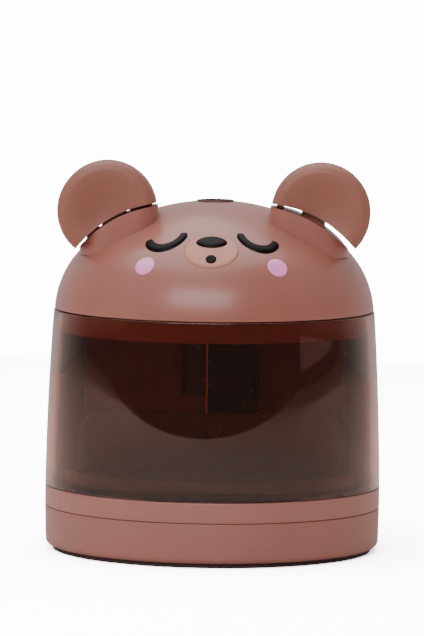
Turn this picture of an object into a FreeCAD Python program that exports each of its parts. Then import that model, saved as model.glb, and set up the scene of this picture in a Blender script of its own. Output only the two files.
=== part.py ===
# Desktop electric pencil sharpener in the shape of a sleeping bear.
#
# Row frame: millimetres, +Z up, front towards -Y, origin on the surface it stands on, under
# the pencil hole. The shells are turned shapes about the Z axis. Inside, a small motor
# drives the cutter through a pinion, a two-step idler gear and a ring gear.
import FreeCAD, Part
import math
import os
import re
import Sketcher

doc = FreeCAD.newDocument("PencilSharpener")

# ---------------------------------------------------------------------------------------
# Driving dimensions, in millimetres, degrees or teeth
# ---------------------------------------------------------------------------------------
SIZES = {
    # outer form
    "body_radius": 42.0,        # at the foot of the window
    "side_taper": 1.8,          # the side is this much slimmer where it meets the dome
    "foot_height": 1.15,
    "foot_inset": 2.0,
    "foot_width": 1.5,
    "floor_wall": 2.4,
    "deck_plate": 1.8,
    "post_side": 33.0,
    "post_front": 27.0,
    "post_front_y": 22.0,
    "post_side_y": 6.0,
    "base_height": 11.1,        # parting line between the two lower bands
    "sill_height": 16.2,        # foot of the window
    "rim_height": 60.3,         # rim of the dome
    "dome_rise": 27.3,
    "dome_corner": 23.2,        # radius of the rounded shoulder of the dome
    "dome_draft": 3.0,
    "side_sweep": 812.0,        # radius of the slight belly of the side
    "shell_wall": 1.9,
    "edge_round": 1.4,
    "seam": 0.12,               # gap at each parting line
    "fit_gap": 0.1,             # radial clearance of parts that are pushed together
    "run_gap": 0.05,            # radial clearance of parts that turn or slide
    # drawer
    "window_wall": 1.8,
    "drawer_floor": 1.6,
    "drawer_gap": 0.7,          # between the drawer's back wall and the bulkhead
    "guard_clearance": 2.6,     # the drawer's walls pass this far under the guard
    "drawer_lip": 5.0,
    "window_edge": 0.8,         # the window ends this far behind the axis
    "drawer_wall": 1.5,
    "drawer_half": 32.4,        # half width of the drawer's chip box
    # inner frame
    "motor_clearance": 2.2,     # between the bulkhead and the motor
    "bulkhead_wall": 1.6,
    "deck_drop": 2.4,           # underside of the chassis plate, below the rim
    "deck_wall": 2.0,
    "skirt_drop": 5.4,          # the chassis skirt hangs this far below the rim
    "skirt_wall": 1.4,
    # pencil way and cutter
    "bore_radius": 4.2,
    "guide_wall": 0.5,
    "guide_proud": 0.15,
    "guide_flange": 7.6,
    "cover_wall": 2.0,          # gear cover, which the guide stands on
    "carrier_radius": 8.2,
    "carrier_reach": 18.9,      # below the deck
    "neck_radius": 6.0,
    "bush_wall": 1.2,
    # guard
    "guard_half": 11.0,
    "guard_edge": 1.5,          # the guard is open to the left of this
    "guard_depth": 11.6,
    "guard_reach": 22.5,        # below the deck
    # gears
    "gear_module": 0.5,
    "pressure_angle": 25.0,
    "ring_teeth": 56,
    "idler_small_teeth": 14,
    "idler_large_teeth": 32,
    "pinion_teeth": 10,
    "gear_lift": 1.3,
    "lower_gear_face": 4.2,
    "gear_gap": 1.6,
    "upper_gear_face": 3.6,
    "gear_pin_radius": 1.0,
    # motor
    "motor_offset": 27.0,       # motor axis behind the pencil axis
    "motor_radius": 10.1,
    "motor_flat": 7.6,
    "motor_length": 25.0,
    "motor_boss": 3.05,
    "shaft_radius": 1.0,
    # cells
    "cell_radius": 7.15,
    "cell_length": 49.2,
    "cell_offset": 17.7,
    "cell_gap": 0.45,           # between the bulkhead and the cells
    "cell_foot": 5.6,
    # ears
    "ear_radius": 12.35,
    "ear_offset": 26.5,
    "ear_drop": 1.95,           # ear centre, below the crown
    "ear_front": 17.4,
    "ear_depth": 11.4,
    "ear_rim": 2.4,
    "ear_dish_depth": 2.2,
    "ear_saddle_radius": 30.0,
    "ear_saddle_x": 10.2,
    "saddle_inner": 13.0,       # reach of the seats' curved tops, from the axis
    "saddle_outer": 36.0,
    "saddle_drop": 30.3,        # centre of the seat's curved top, below the crown
    "ear_gap_left": 0.84,       # between an ear and its seat
    "ear_gap_right": 0.77,
    "ear_lean_left": -0.5,      # shift of the curve under the ear; opens the gap outwards
    "ear_lean_right": 1.3,
    "ear_back_round": 3.0,
    "tab_inset": 4.0,           # tabs under the ears, behind the ear's front
    "tab_thick": 4.0,
    "tab_reach": 9.0,           # below the ear's centre
    "tab_root": 3.6,            # above it, inside the ear
    # inlays of the face
    "inlay_proud": 0.35,
    # screws
    "screw_radius": 1.25,
    "screw_head_radius": 2.3,
    "screw_head_height": 1.5,
    "post_radius": 2.6,
}

sheet = doc.addObject("Spreadsheet::Sheet", "sizes")
for row, (alias, value) in enumerate(SIZES.items(), start=1):
    sheet.set("A%d" % row, alias)
    sheet.set("B%d" % row, str(value))
    sheet.setAlias("B%d" % row, alias)
doc.recompute()

# Sizes that follow from the driving ones. Each may use the ones above it.
DERIVED = {}
NAME = re.compile(r"\b[a-z][a-z]*(?:_[a-z]+)+\b|\bseam\b")


def full(expression):
    """The expression with sheet names qualified and derived names written out."""
    def swap(match):
        word = match.group(0)
        if word in SIZES:
            return "sizes." + word
        if word in DERIVED:
            return "(" + DERIVED[word] + ")"
        return word
    return NAME.sub(swap, str(expression))


def number(expression):
    """The expression's value now."""
    value = sheet.evalExpression(full(expression))
    return float(getattr(value, "Value", value))


def derive(name, expression):
    DERIVED[name] = full(expression)


# ---------------------------------------------------------------------------------------
# Helpers: closed outlines with every point pinned to the sheet, and the features on them
# ---------------------------------------------------------------------------------------
def make_body(label):
    body = doc.addObject("PartDesign::Body", label)
    body.Label = label
    return body


def pin_point(sketch, edge, end, x, y):
    for kind, expression in (("DistanceX", x), ("DistanceY", y)):
        index = sketch.addConstraint(Sketcher.Constraint(kind, -1, 1, edge, end, number(expression)))
        sketch.setExpression("Constraints[%d]" % index, full(expression))


def pin_radius(sketch, edge, radius):
    index = sketch.addConstraint(Sketcher.Constraint("Radius", edge, number(radius)))
    sketch.setExpression("Constraints[%d]" % index, full(radius))


def draw_circle(sketch, x, y, radius):
    centre = FreeCAD.Vector(number(x), number(y), 0)
    edge = sketch.addGeometry(Part.Circle(centre, FreeCAD.Vector(0, 0, 1), number(radius)), False)
    pin_point(sketch, edge, 3, x, y)
    pin_radius(sketch, edge, radius)


def arc_between(start, end, radius, turn):
    """The short arc from start to end; turn is 1 with its centre on the left, -1 on the right."""
    chord = end - start
    half = chord.Length / 2
    left = FreeCAD.Vector(-chord.y, chord.x, 0).normalize()
    centre = (start + end) / 2 + left * turn * math.sqrt(max(radius ** 2 - half ** 2, 0))
    first = math.atan2(start.y - centre.y, start.x - centre.x)
    last = math.atan2(end.y - centre.y, end.x - centre.x)
    circle = Part.Circle(centre, FreeCAD.Vector(0, 0, 1), radius)
    return Part.ArcOfCircle(circle, first, last) if turn > 0 else Part.ArcOfCircle(circle, last, first)


def draw_outline(sketch, points):
    """points: (x, y) for a straight edge to the next point, (x, y, radius, turn) for an arc."""
    places = [FreeCAD.Vector(number(point[0]), number(point[1]), 0) for point in points]
    ends = []
    for index, point in enumerate(points):
        start = places[index]
        stop = places[(index + 1) % len(points)]
        if len(point) == 2:
            edge = sketch.addGeometry(Part.LineSegment(start, stop), False)
            ends.append((edge, 1, 2))
            continue
        edge = sketch.addGeometry(arc_between(start, stop, number(point[2]), point[3]), False)
        ends.append((edge, 1, 2) if point[3] > 0 else (edge, 2, 1))
    for index, point in enumerate(points):
        edge, first, last = ends[index]
        following = ends[(index + 1) % len(points)]
        sketch.addConstraint(Sketcher.Constraint("Coincident", edge, last, following[0], following[1]))
    for index, point in enumerate(points):
        edge, first, last = ends[index]
        pin_point(sketch, edge, first, point[0], point[1])
        if len(point) > 2:
            pin_radius(sketch, edge, point[2])


def make_sketch(body, role, loops, offset="0"):
    sketch = body.newObject("Sketcher::SketchObject", body.Name + "_outline")
    plane = [item for item in body.Origin.OriginFeatures if item.Role == role][0]
    sketch.AttachmentSupport = (plane, [""])
    sketch.MapMode = "FlatFace"
    sketch.setExpression("AttachmentOffset.Base.z", full(offset))
    for loop in loops:
        if isinstance(loop, tuple):
            draw_circle(sketch, *loop)
        else:
            draw_outline(sketch, loop)
    return sketch


def add_pad(body, loops, bottom, height, role="XY_Plane"):
    """Material from the offset along the plane's normal (XZ_Plane's points to -Y)."""
    pad = body.newObject("PartDesign::Pad", body.Name + "_pad")
    pad.Profile = make_sketch(body, role, loops, bottom)
    pad.setExpression("Length", full(height))
    doc.recompute()
    return pad


def cut_pocket(body, loops, bottom, height, role="XY_Plane"):
    """Cut from the offset along the plane's normal."""
    before = body.Shape.Volume
    pocket = body.newObject("PartDesign::Pocket", body.Name + "_pocket")
    pocket.Profile = make_sketch(body, role, loops, bottom)
    pocket.setExpression("Length", full(height))
    pocket.Reversed = True
    doc.recompute()
    if body.Shape.Volume >= before:
        raise RuntimeError("a pocket of %s cuts nothing" % body.Label)
    return pocket


def turn_profile(body, points, kind="PartDesign::Revolution", role="XZ_Plane"):
    feature = body.newObject(kind, body.Name + "_turned")
    sketch = make_sketch(body, role, [points])
    feature.Profile = sketch
    feature.ReferenceAxis = (sketch, ["V_Axis"])
    feature.Angle = 360
    doc.recompute()
    return feature


def turned(label, points):
    body = make_body(label)
    turn_profile(body, points)
    return body


def prism(label, loops, bottom, height):
    body = make_body(label)
    add_pad(body, loops, bottom, height)
    return body


def box_outline(left, front, right, back):
    return [(left, front), (right, front), (right, back), (left, back)]


def mirrored(text, side):
    return "(%d)*(%s)" % (side, text)


def group(label, members):
    compound = doc.addObject("Part::Compound", label)
    compound.Links = members
    compound.Label = label
    return compound


def make_cylinder(name, radius, height, x, y, z):
    cylinder = doc.addObject("Part::Cylinder", name)
    cylinder.setExpression("Radius", full(radius))
    cylinder.setExpression("Height", full(height))
    for axis, value in (("x", x), ("y", y), ("z", z)):
        cylinder.setExpression("Placement.Base." + axis, full(value))
    return cylinder


def make_screws(label, places, head_bottom, shaft_length, upwards):
    """Pan-head screws: heads at head_bottom, shafts going up or down from them."""
    screws = []
    for index, (x, y) in enumerate(places):
        head = make_cylinder("%s_head_%d" % (label, index), "screw_head_radius",
                             "screw_head_height", x, y, head_bottom)
        shaft_foot = head_bottom if upwards else "%s - (%s)" % (head_bottom, shaft_length)
        shaft = make_cylinder("%s_shaft_%d" % (label, index), "screw_radius",
                              "%s + screw_head_height" % shaft_length, x, y, shaft_foot)
        screw = doc.addObject("Part::MultiFuse", "%s_%d" % (label, index))
        screw.Shapes = [head, shaft]
        screws.append(screw)
    return group(label, screws)


# ---------------------------------------------------------------------------------------
# Derived sizes
# ---------------------------------------------------------------------------------------
derive("shoulder_radius", "body_radius - side_taper")
derive("foot_radius", "body_radius - foot_inset")
derive("rim_radius", "shoulder_radius - 0.2")
derive("deck_height", "rim_height - deck_drop")
derive("guard_foot", "deck_height - guard_reach")
derive("carrier_foot", "deck_height - carrier_reach")
derive("drawer_wall_height", "guard_foot - guard_clearance")
derive("corner_x", "rim_radius - dome_corner*cos(dome_draft)")
derive("corner_z", "rim_height - dome_corner*sin(dome_draft)")
derive("crown_height", "rim_height + dome_rise")
derive("ear_height", "crown_height - ear_drop")
derive("ear_saddle_height", "crown_height - saddle_drop")
derive("crown_drop", "crown_height - corner_z")
derive("crown_radius", "(corner_x^2 + crown_drop^2 - dome_corner^2) / (2*(crown_drop - dome_corner))")
derive("crown_centre", "crown_height - crown_radius")
derive("blend_x", "corner_x / (crown_radius - dome_corner)")
derive("blend_z", "(corner_z - crown_centre) / (crown_radius - dome_corner)")
derive("guide_outer", "bore_radius + guide_wall")
derive("guide_hole", "guide_outer + fit_gap")
derive("inner_back", "shoulder_radius - shell_wall")
derive("floor_top", "foot_height + floor_wall")
derive("deck_top", "sill_height - seam")
derive("drawer_foot", "sill_height + seam")
derive("drawer_lip_height", "sill_height + drawer_lip")
derive("deck_roof", "deck_height + deck_wall")
derive("lower_gear_height", "deck_roof + gear_lift")
derive("upper_gear_height", "lower_gear_height + lower_gear_face + gear_gap")
derive("cover_foot", "upper_gear_height + upper_gear_face + 1")
derive("guide_seat", "cover_foot + cover_wall")
derive("plate_radius", "inner_back - fit_gap*2")
derive("bulkhead_rear", "motor_offset - motor_flat - motor_clearance")
derive("bulkhead_front", "bulkhead_rear - bulkhead_wall")
derive("drawer_rear", "bulkhead_front - drawer_gap")
derive("drawer_back", "drawer_rear - drawer_wall")
derive("cell_back", "bulkhead_rear + cell_gap + cell_radius")
derive("bulkhead_half", "sqrt((plate_radius - fit_gap)^2 - bulkhead_rear^2)")
derive("ring_pitch", "ring_teeth*gear_module/2")
derive("idler_reach", "(ring_teeth + idler_small_teeth)*gear_module/2")
derive("pinion_reach", "(idler_large_teeth + pinion_teeth)*gear_module/2")
derive("idler_y", "(motor_offset^2 + idler_reach^2 - pinion_reach^2) / (2*motor_offset)")
derive("idler_x", "sqrt(idler_reach^2 - idler_y^2)")
derive("blade_seat", "carrier_radius - 2.9")
derive("blade_wall", "guide_wall*2")
derive("blade_reach", "sqrt((carrier_radius + 0.4)^2 - (blade_seat + blade_wall)^2)")
derive("button_radius", "screw_radius + 0.6")
derive("button_hole", "button_radius + run_gap")
derive("deck_edge", "body_radius - shell_wall/2")
derive("deck_side", "sqrt(deck_edge^2 - bulkhead_rear^2)")
derive("door_front", "bulkhead_rear + 0.6")
derive("door_half", "cell_offset + cell_radius + 1.1")
derive("door_arc", "foot_radius - foot_width - 0.4")
derive("door_corner", "sqrt(door_arc^2 - door_half^2)")


def dome_profile(offset):
    """The dome from rim to the pencil hole, moved outwards by the offset, and its ends."""
    corner = "(dome_corner + (%s))" % offset
    crown = "(crown_radius + (%s))" % offset
    rim = ("corner_x + sqrt(%s^2 - (corner_z - rim_height)^2)" % corner, "rim_height")
    blend = ("corner_x + blend_x*%s" % corner, "corner_z + blend_z*%s" % corner)
    return rim, blend, corner, crown


def dome_height_at(radius, offset):
    return "crown_centre + sqrt((crown_radius + (%s))^2 - (%s)^2)" % (offset, radius)


# ---------------------------------------------------------------------------------------
# Lower case: rubber foot ring, base, battery door
# ---------------------------------------------------------------------------------------
def build_lower_case():
    inner_foot = "foot_radius - foot_width"
    turned("foot_ring", [(inner_foot, "0"), ("foot_radius", "0"), ("foot_radius", "foot_height"),
                         (inner_foot, "foot_height")])
    base = turned("base_shell", [
        ("0", "foot_height"),
        ("body_radius - edge_round - 0.2", "foot_height", "edge_round", 1),
        ("body_radius - 0.2", "foot_height + edge_round"),
        ("body_radius", "base_height - seam/2"),
        ("body_radius - shell_wall", "base_height - seam/2"),
        ("body_radius - shell_wall", "floor_top"),
        ("0", "floor_top")])
    cut_pocket(base, [[
        ("-door_half - seam", "door_front - seam"),
        ("door_half + seam", "door_front - seam"),
        ("door_half + seam", "door_corner", "door_arc + seam", 1),
        ("-door_half - seam", "door_corner")]], "foot_height - 1", "floor_wall + 2")
    cut_pocket(base, [(x, y, "screw_radius + fit_gap") for x, y in POST_PLACES],
               "foot_height - 1", "floor_wall + 2")
    cut_pocket(base, [(x, y, "screw_head_radius + fit_gap") for x, y in POST_PLACES],
               "foot_height - 1", "screw_head_height + 1.2")
    door = prism("battery_door", [[
        ("-door_half", "door_front"), ("door_half", "door_front"),
        ("door_half", "door_corner", "door_arc - seam", 1),
        ("-door_half", "door_corner")]], "foot_height", "floor_wall")
    cut_pocket(door, [box_outline("-7", "door_arc - 6", "7", "door_arc - 4")],
               "foot_height - 1", "1.8")
    make_screws("base_screws", POST_PLACES, "foot_height + 0.2", "8", True)


POST_PLACES = [("-post_front", "-post_front_y"), ("post_front", "-post_front_y"),
               ("-post_side", "post_side_y"), ("post_side", "post_side_y")]


# ---------------------------------------------------------------------------------------
# Middle case: sill band with the deck, rear wall, bulkhead
# ---------------------------------------------------------------------------------------
def build_middle_case():
    inner_sill = "body_radius - shell_wall"
    shell = turned("body_shell", [
        (inner_sill, "base_height + seam/2"),
        ("body_radius", "base_height + seam/2"),
        ("body_radius", "sill_height", "side_sweep", 1),
        ("shoulder_radius", "rim_height - seam/2"),
        (inner_sill + " - (body_radius - shoulder_radius)", "rim_height - seam/2",
         "side_sweep - shell_wall", -1),
        (inner_sill, "sill_height")])
    cut_pocket(shell, [box_outline("-body_radius - 5", "-body_radius - 5", "body_radius + 5",
                                   "window_edge + seam")], "sill_height", "rim_height")
    add_pad(shell, [DECK_OUTLINE], "deck_top - deck_plate", "deck_plate")
    add_pad(shell, [(x, y, "post_radius") for x, y in POST_PLACES],
            "floor_top", "deck_top - deck_plate/2 - floor_top")
    cut_pocket(shell, [(x, y, "screw_radius") for x, y in POST_PLACES],
               "floor_top - 1", "9")
    bulkhead = prism("bulkhead", [box_outline("-bulkhead_half", "bulkhead_front",
                                              "bulkhead_half", "bulkhead_rear")],
                     "deck_top", "deck_height - deck_top")
    add_pad(bulkhead, [(x, y, "post_radius") for x, y in CHASSIS_PLACES],
            "deck_height - 14", "14")
    cut_pocket(bulkhead, [(x, y, "screw_radius") for x, y in CHASSIS_PLACES],
               "deck_height - 9", "10")
    cut_pocket(bulkhead, [("0", "sill_height + 12", "button_hole")], "-bulkhead_rear - 1",
               "bulkhead_wall + 2", "XZ_Plane")


DECK_OUTLINE = [("-deck_side", "bulkhead_rear", "deck_edge", 1), ("-deck_edge", "0", "deck_edge", 1),
                ("0", "-deck_edge", "deck_edge", 1), ("deck_edge", "0", "deck_edge", 1),
                ("deck_side", "bulkhead_rear")]
CHASSIS_PLACES = [("-cell_offset - cell_radius - post_radius - 1", "bulkhead_rear + 1.6"),
                  ("cell_offset + cell_radius + post_radius + 1", "bulkhead_rear + 1.6")]


# ---------------------------------------------------------------------------------------
# Drawer: smoked window and chip box
# ---------------------------------------------------------------------------------------
def build_drawer():
    inner = "body_radius - window_wall"
    window = turned("drawer_window", [
        (inner, "drawer_foot"), ("body_radius", "drawer_foot", "side_sweep", 1),
        ("shoulder_radius", "rim_height - seam"),
        ("shoulder_radius - window_wall", "rim_height - seam", "side_sweep - window_wall", -1)])
    cut_pocket(window, [box_outline("-body_radius - 5", "window_edge", "body_radius + 5",
                                    "body_radius + 5")], "0", "rim_height + 5")
    floor_edge = "(body_radius - window_wall - 0.05)"
    front = "-sqrt(%s^2 - drawer_half^2)" % floor_edge
    box = prism("drawer_box", [[
        ("-drawer_half", "drawer_rear"), ("-drawer_half", front, floor_edge, 1),
        ("0", "-" + floor_edge, floor_edge, 1), ("drawer_half", front),
        ("drawer_half", "drawer_rear")]], "drawer_foot", "drawer_floor")
    wall_height = "drawer_wall_height - drawer_foot"
    inner_half = "drawer_half - drawer_wall"
    add_pad(box, [box_outline("-drawer_half", "drawer_back", "drawer_half", "drawer_rear")],
            "drawer_foot", wall_height)
    for left, right in (("-drawer_half", "-(%s)" % inner_half), (inner_half, "drawer_half")):
        add_pad(box, [box_outline(left, "-20", right, "drawer_rear")], "drawer_foot", wall_height)
    lip_edge = "(body_radius - window_wall - 0.45)"
    lip_inner = "(%s - 1.2)" % lip_edge
    lip_side = "sqrt(%s^2 - 18^2)" % lip_edge
    lip_side_inner = "sqrt(%s^2 - 18^2)" % lip_inner
    add_pad(box, [[("-" + lip_side, "-18", lip_edge, 1), ("0", "-" + lip_edge, lip_edge, 1),
                   (lip_side, "-18"), (lip_side_inner, "-18", lip_inner, -1),
                   ("0", "-" + lip_inner, lip_inner, -1), ("-" + lip_side_inner, "-18")]],
            "drawer_foot + drawer_floor/2", "drawer_lip_height - drawer_foot - drawer_floor/2")


# ---------------------------------------------------------------------------------------
# Chassis: plate and skirt, cutter bush, gear cover, guard
# ---------------------------------------------------------------------------------------
def build_chassis():
    skirt = "plate_radius"
    chassis = turned("chassis", [
        ("carrier_radius + run_gap + bush_wall", "deck_height"),
        (skirt + " - skirt_wall", "deck_height"), (skirt + " - skirt_wall", "rim_height - skirt_drop"),
        (skirt, "rim_height - skirt_drop"), (skirt, "deck_roof"),
        ("carrier_radius + run_gap + bush_wall", "deck_roof")])
    cut_pocket(chassis, [box_outline("-plate_radius - 1", "bulkhead_front - 1.5",
                                     "plate_radius + 1", "plate_radius + 1")],
               "rim_height - skirt_drop - 1", "deck_height - rim_height + skirt_drop + 1")
    cut_pocket(chassis, [("0", "motor_offset", "motor_boss + fit_gap")],
               "deck_height - 1", "deck_wall + 2")
    cut_pocket(chassis, [("idler_x", "idler_y", "gear_pin_radius")], "deck_height - 1", "deck_wall + 2")
    cut_pocket(chassis, [(x, y, "screw_radius + fit_gap") for x, y in CHASSIS_PLACES + HEAD_PLACES],
               "deck_height - 1", "deck_wall + 2")
    add_pad(chassis, [(x, y, "post_radius") for x, y in COVER_PLACES], "deck_roof - 0.5",
            "cover_foot - deck_roof + 0.5")
    cut_pocket(chassis, [(x, y, "screw_radius") for x, y in COVER_PLACES], "cover_foot - 7", "8")
    make_screws("chassis_screws", CHASSIS_PLACES, "deck_roof", "6", False)
    make_screws("head_screws", HEAD_PLACES, "deck_height - screw_head_height", "deck_wall + 5", True)
    turned("cutter_bush", [
        ("carrier_radius + run_gap", "deck_height"),
        ("carrier_radius + run_gap + bush_wall", "deck_height"),
        ("carrier_radius + run_gap + bush_wall", "deck_roof"),
        ("carrier_radius + run_gap + bush_wall*2", "deck_roof"),
        ("carrier_radius + run_gap + bush_wall*2", "lower_gear_height - 0.3"),
        ("carrier_radius + run_gap", "lower_gear_height - 0.3")])
    cover = prism("gear_cover", [[
        ("-20.4", "-8"), ("20.4", "-8"), ("20.4", "8.5"), ("12", "24"),
        ("4.5", "motor_offset + 4"), ("-11", "motor_offset + 2.5"), ("-20.4", "8.5")]],
        "cover_foot", "guide_seat - cover_foot")
    cut_pocket(cover, [("0", "0", "neck_radius + run_gap"), ("idler_x", "idler_y", "gear_pin_radius")]
               + [(x, y, "screw_radius + fit_gap") for x, y in COVER_PLACES],
               "cover_foot - 1", "guide_seat - cover_foot + 2")
    make_screws("cover_screws", COVER_PLACES, "guide_seat", "guide_seat - cover_foot + 4", False)
    guard = prism("cutter_guard", [box_outline("-guard_half", "-guard_depth", "guard_half",
                                               "guard_depth")], "guard_foot",
                  "deck_height - guard_foot")
    cut_pocket(guard, [("0", "0", "carrier_radius + bush_wall")], "guard_foot - 1",
               "deck_height - guard_foot + 2")
    cut_pocket(guard, [box_outline("-guard_half - 1", "-guard_depth - 1", "-guard_edge",
                                   "guard_depth + 1")],
               "guard_foot - 1", "deck_height - guard_foot + 2")


COVER_PLACES = [("-16.6", "5.8"), ("16.6", "5.8"), ("-8", "motor_offset - 1")]
HEAD_PLACES = [("-29", "-8"), ("29", "-8"), ("-20", "24.5"), ("20", "24.5")]


# ---------------------------------------------------------------------------------------
# Head: dome with its ear seats, ears, face
# ---------------------------------------------------------------------------------------
def ear_seat_outline(side):
    """Rounded block under an ear; corners are arcs of 5 and 10 mm."""
    points = [("14", "-8.2"), ("14", "-13.2", "5", 1), ("19", "-18.2"), ("23.5", "-18.2", "10", 1),
              ("33.5", "-8.2", "5.5", 1), ("28", "-2.7"), ("19.5", "-2.7", "5.5", 1)]
    if side > 0:
        return points
    flipped = []
    for index in range(len(points)):
        point = points[-index]
        before = points[-index - 1]
        arc = (before[2], 1) if len(before) > 2 else ()
        flipped.append(("-(%s)" % point[0], point[1]) + arc)
    return flipped


def build_head():
    head = make_body("head_shell")
    rim, blend, corner, crown = dome_profile("0")
    inner_rim, inner_blend, inner_corner, inner_crown = dome_profile("-shell_wall")
    turn_profile(head, [("0", "rim_height + seam/2"), ("rim_radius", "rim_height + seam/2",
                                                      corner, 1),
                        (blend[0], blend[1], crown, 1), ("0", "crown_height")])
    for side in (1, -1):
        add_pad(head, [ear_seat_outline(side)], "crown_height - 14", "15")
    for side in (1, -1):
        cut_pocket(head, [saddle_outline(side)], "2", "17.5", "XZ_Plane")
    turn_profile(head, [("0", "rim_height - 5"), (inner_rim[0], "rim_height - 5"),
                        (inner_rim[0], "rim_height", inner_corner, 1),
                        (inner_blend[0], inner_blend[1], inner_crown, 1),
                        ("0", "crown_height - shell_wall")], "PartDesign::Groove")
    cut_pocket(head, [("0", "0", "guide_hole")], "crown_height - 8", "12")
    for side in (1, -1):
        for tab in EAR_TABS[side]:
            cut_pocket(head, [tab_outline(side, tab, "fit_gap")], "ear_height - 14", "20")
    for x, y in HEAD_PLACES:
        reach = "sqrt((%s)^2 + (%s)^2)" % (x, y)
        top = "corner_z + sqrt((dome_corner - shell_wall/2)^2 - (%s - corner_x)^2)" % reach
        add_pad(head, [(x, y, "post_radius")], "deck_roof", "%s - deck_roof - 1.2" % top)
    cut_pocket(head, [(x, y, "screw_radius") for x, y in HEAD_PLACES], "deck_roof - 1", "7")


# Each tab's inner and outer end, from the axis; the key is the side, 1 for +X.
EAR_TABS = {-1: [("15.5", "20.8"), ("21.8", "27.8"), ("28.6", "31.5")],
            1: [("15.6", "17.3"), ("21.8", "27.6")]}


def tab_outline(side, tab, gap):
    near, far = "%s - %s" % (tab[0], gap), "%s + %s" % (tab[1], gap)
    if side < 0:
        near, far = "-(%s)" % far, "-(%s)" % near
    return box_outline(near, "-ear_front + tab_inset - %s" % gap,
                       far, "-ear_front + tab_inset + tab_thick + %s" % gap)


def saddle_outline(side):
    """The region above an ear seat's curved top."""
    low = "(ear_saddle_height + sqrt(ear_saddle_radius^2 - (saddle_outer - ear_saddle_x)^2))"
    high = "(ear_saddle_height + sqrt(ear_saddle_radius^2 - (saddle_inner - ear_saddle_x)^2))"
    roof = "crown_height + 5"
    if side > 0:
        return [("saddle_inner", high, "ear_saddle_radius", -1), ("saddle_outer", low),
                ("saddle_outer", roof), ("saddle_inner", roof)]
    return [("-saddle_inner", roof), ("-saddle_outer", roof),
            ("-saddle_outer", low, "ear_saddle_radius", -1), ("-saddle_inner", high)]


def build_ear(label, side):
    """A dished round ear, turned about its own axis and cut to sit over its seat."""
    ear = make_body(label)
    name = "right" if side > 0 else "left"
    front = "-ear_front"
    back = "(-ear_front + ear_depth)"
    dish = "((ear_radius - ear_rim)^2 + ear_dish_depth^2)/(2*ear_dish_depth)"
    turn_profile(ear, [
        ("0", "-ear_front + ear_dish_depth", dish, -1),
        ("ear_radius - ear_rim", front, "ear_rim", 1), ("ear_radius", "-ear_front + ear_rim"),
        ("ear_radius", back + " - ear_back_round", "ear_back_round", 1),
        ("ear_radius - ear_back_round", back), ("0", back)], role="XY_Plane")
    centre = mirrored("ear_saddle_x + ear_lean_%s - ear_offset" % name, side)
    cut_pocket(ear, [(centre, "ear_saddle_height - ear_height", "ear_saddle_radius + ear_gap_" + name)],
               "0", "ear_front + 5", "XZ_Plane")
    for tab in EAR_TABS[side]:
        near, far = (mirrored("%s - ear_offset" % end, side) for end in tab[::side])
        add_pad(ear, [box_outline(near, "-ear_front + tab_inset",
                                  far, "-ear_front + tab_inset + tab_thick")],
                "-tab_reach", "tab_reach + tab_root")
    ear.setExpression("Placement.Base.x", full(mirrored("ear_offset", side)))
    ear.setExpression("Placement.Base.z", full("ear_height"))


def make_skin(name, proud):
    """A thin layer on the dome, from which the inlays of the face are cut."""
    rim, blend, corner, crown = dome_profile("0")
    over_rim, over_blend, over_corner, over_crown = dome_profile(proud)
    low = "rim_height + 5"
    low_x = "corner_x + sqrt(%s^2 - (%s - corner_z)^2)" % (corner, low)
    low_over_x = "corner_x + sqrt(%s^2 - (%s - corner_z)^2)" % (over_corner, low)
    top = dome_height_at("guide_hole + 4", "0")
    top_over = dome_height_at("guide_hole + 4", proud)
    return turned(name, [
        (low_x, low), (low_over_x, low, over_corner, 1),
        (over_blend[0], over_blend[1], over_crown, 1), ("guide_hole + 4", top_over),
        ("guide_hole + 4", top, crown, -1), (blend[0], blend[1], corner, -1)])


def surface_placement(radius, azimuth):
    """A frame on the dome, its Z axis along the surface's normal; azimuth 0 is the front."""
    reach = number(radius) - number("corner_x")
    lift = math.sqrt(number("dome_corner") ** 2 - reach ** 2)
    turn = FreeCAD.Rotation(FreeCAD.Vector(0, 0, 1), azimuth)
    normal = turn.multVec(FreeCAD.Vector(0, -reach, lift))
    place = turn.multVec(FreeCAD.Vector(0, -number(radius), 0))
    place.z = number("corner_z") + lift
    across = turn.multVec(FreeCAD.Vector(1, 0, 0))
    rotation = FreeCAD.Rotation(across, FreeCAD.Vector(), normal, "ZXY")
    return FreeCAD.Placement(place, rotation)


def make_inlay(label, skin, radius, azimuth, half_width, half_height, hole=None):
    """The patch of a skin inside an ellipse that stands square to the dome."""
    ellipse = doc.addObject("Part::Ellipse", label + "_ellipse")
    tall = number(half_height) > number(half_width)
    ellipse.MajorRadius = number(half_height if tall else half_width)
    ellipse.MinorRadius = number(half_width if tall else half_height)
    ellipse.Placement = surface_placement(radius, azimuth)
    if tall:
        ellipse.Placement.Rotation = ellipse.Placement.Rotation * FreeCAD.Rotation(
            FreeCAD.Vector(0, 0, 1), 90)
    punch = doc.addObject("Part::Extrusion", label + "_punch")
    punch.Base = ellipse
    punch.DirMode = "Normal"
    punch.LengthFwd = 6
    punch.LengthRev = 6
    punch.Solid = True
    inlay = doc.addObject("Part::Common", label if hole is None else label + "_full")
    inlay.Base = skin
    inlay.Tool = punch
    if hole is None:
        inlay.Label = label
        return inlay
    cut = doc.addObject("Part::Cut", label)
    cut.Base = inlay
    cut.Tool = hole
    cut.Label = label
    return cut


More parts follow.
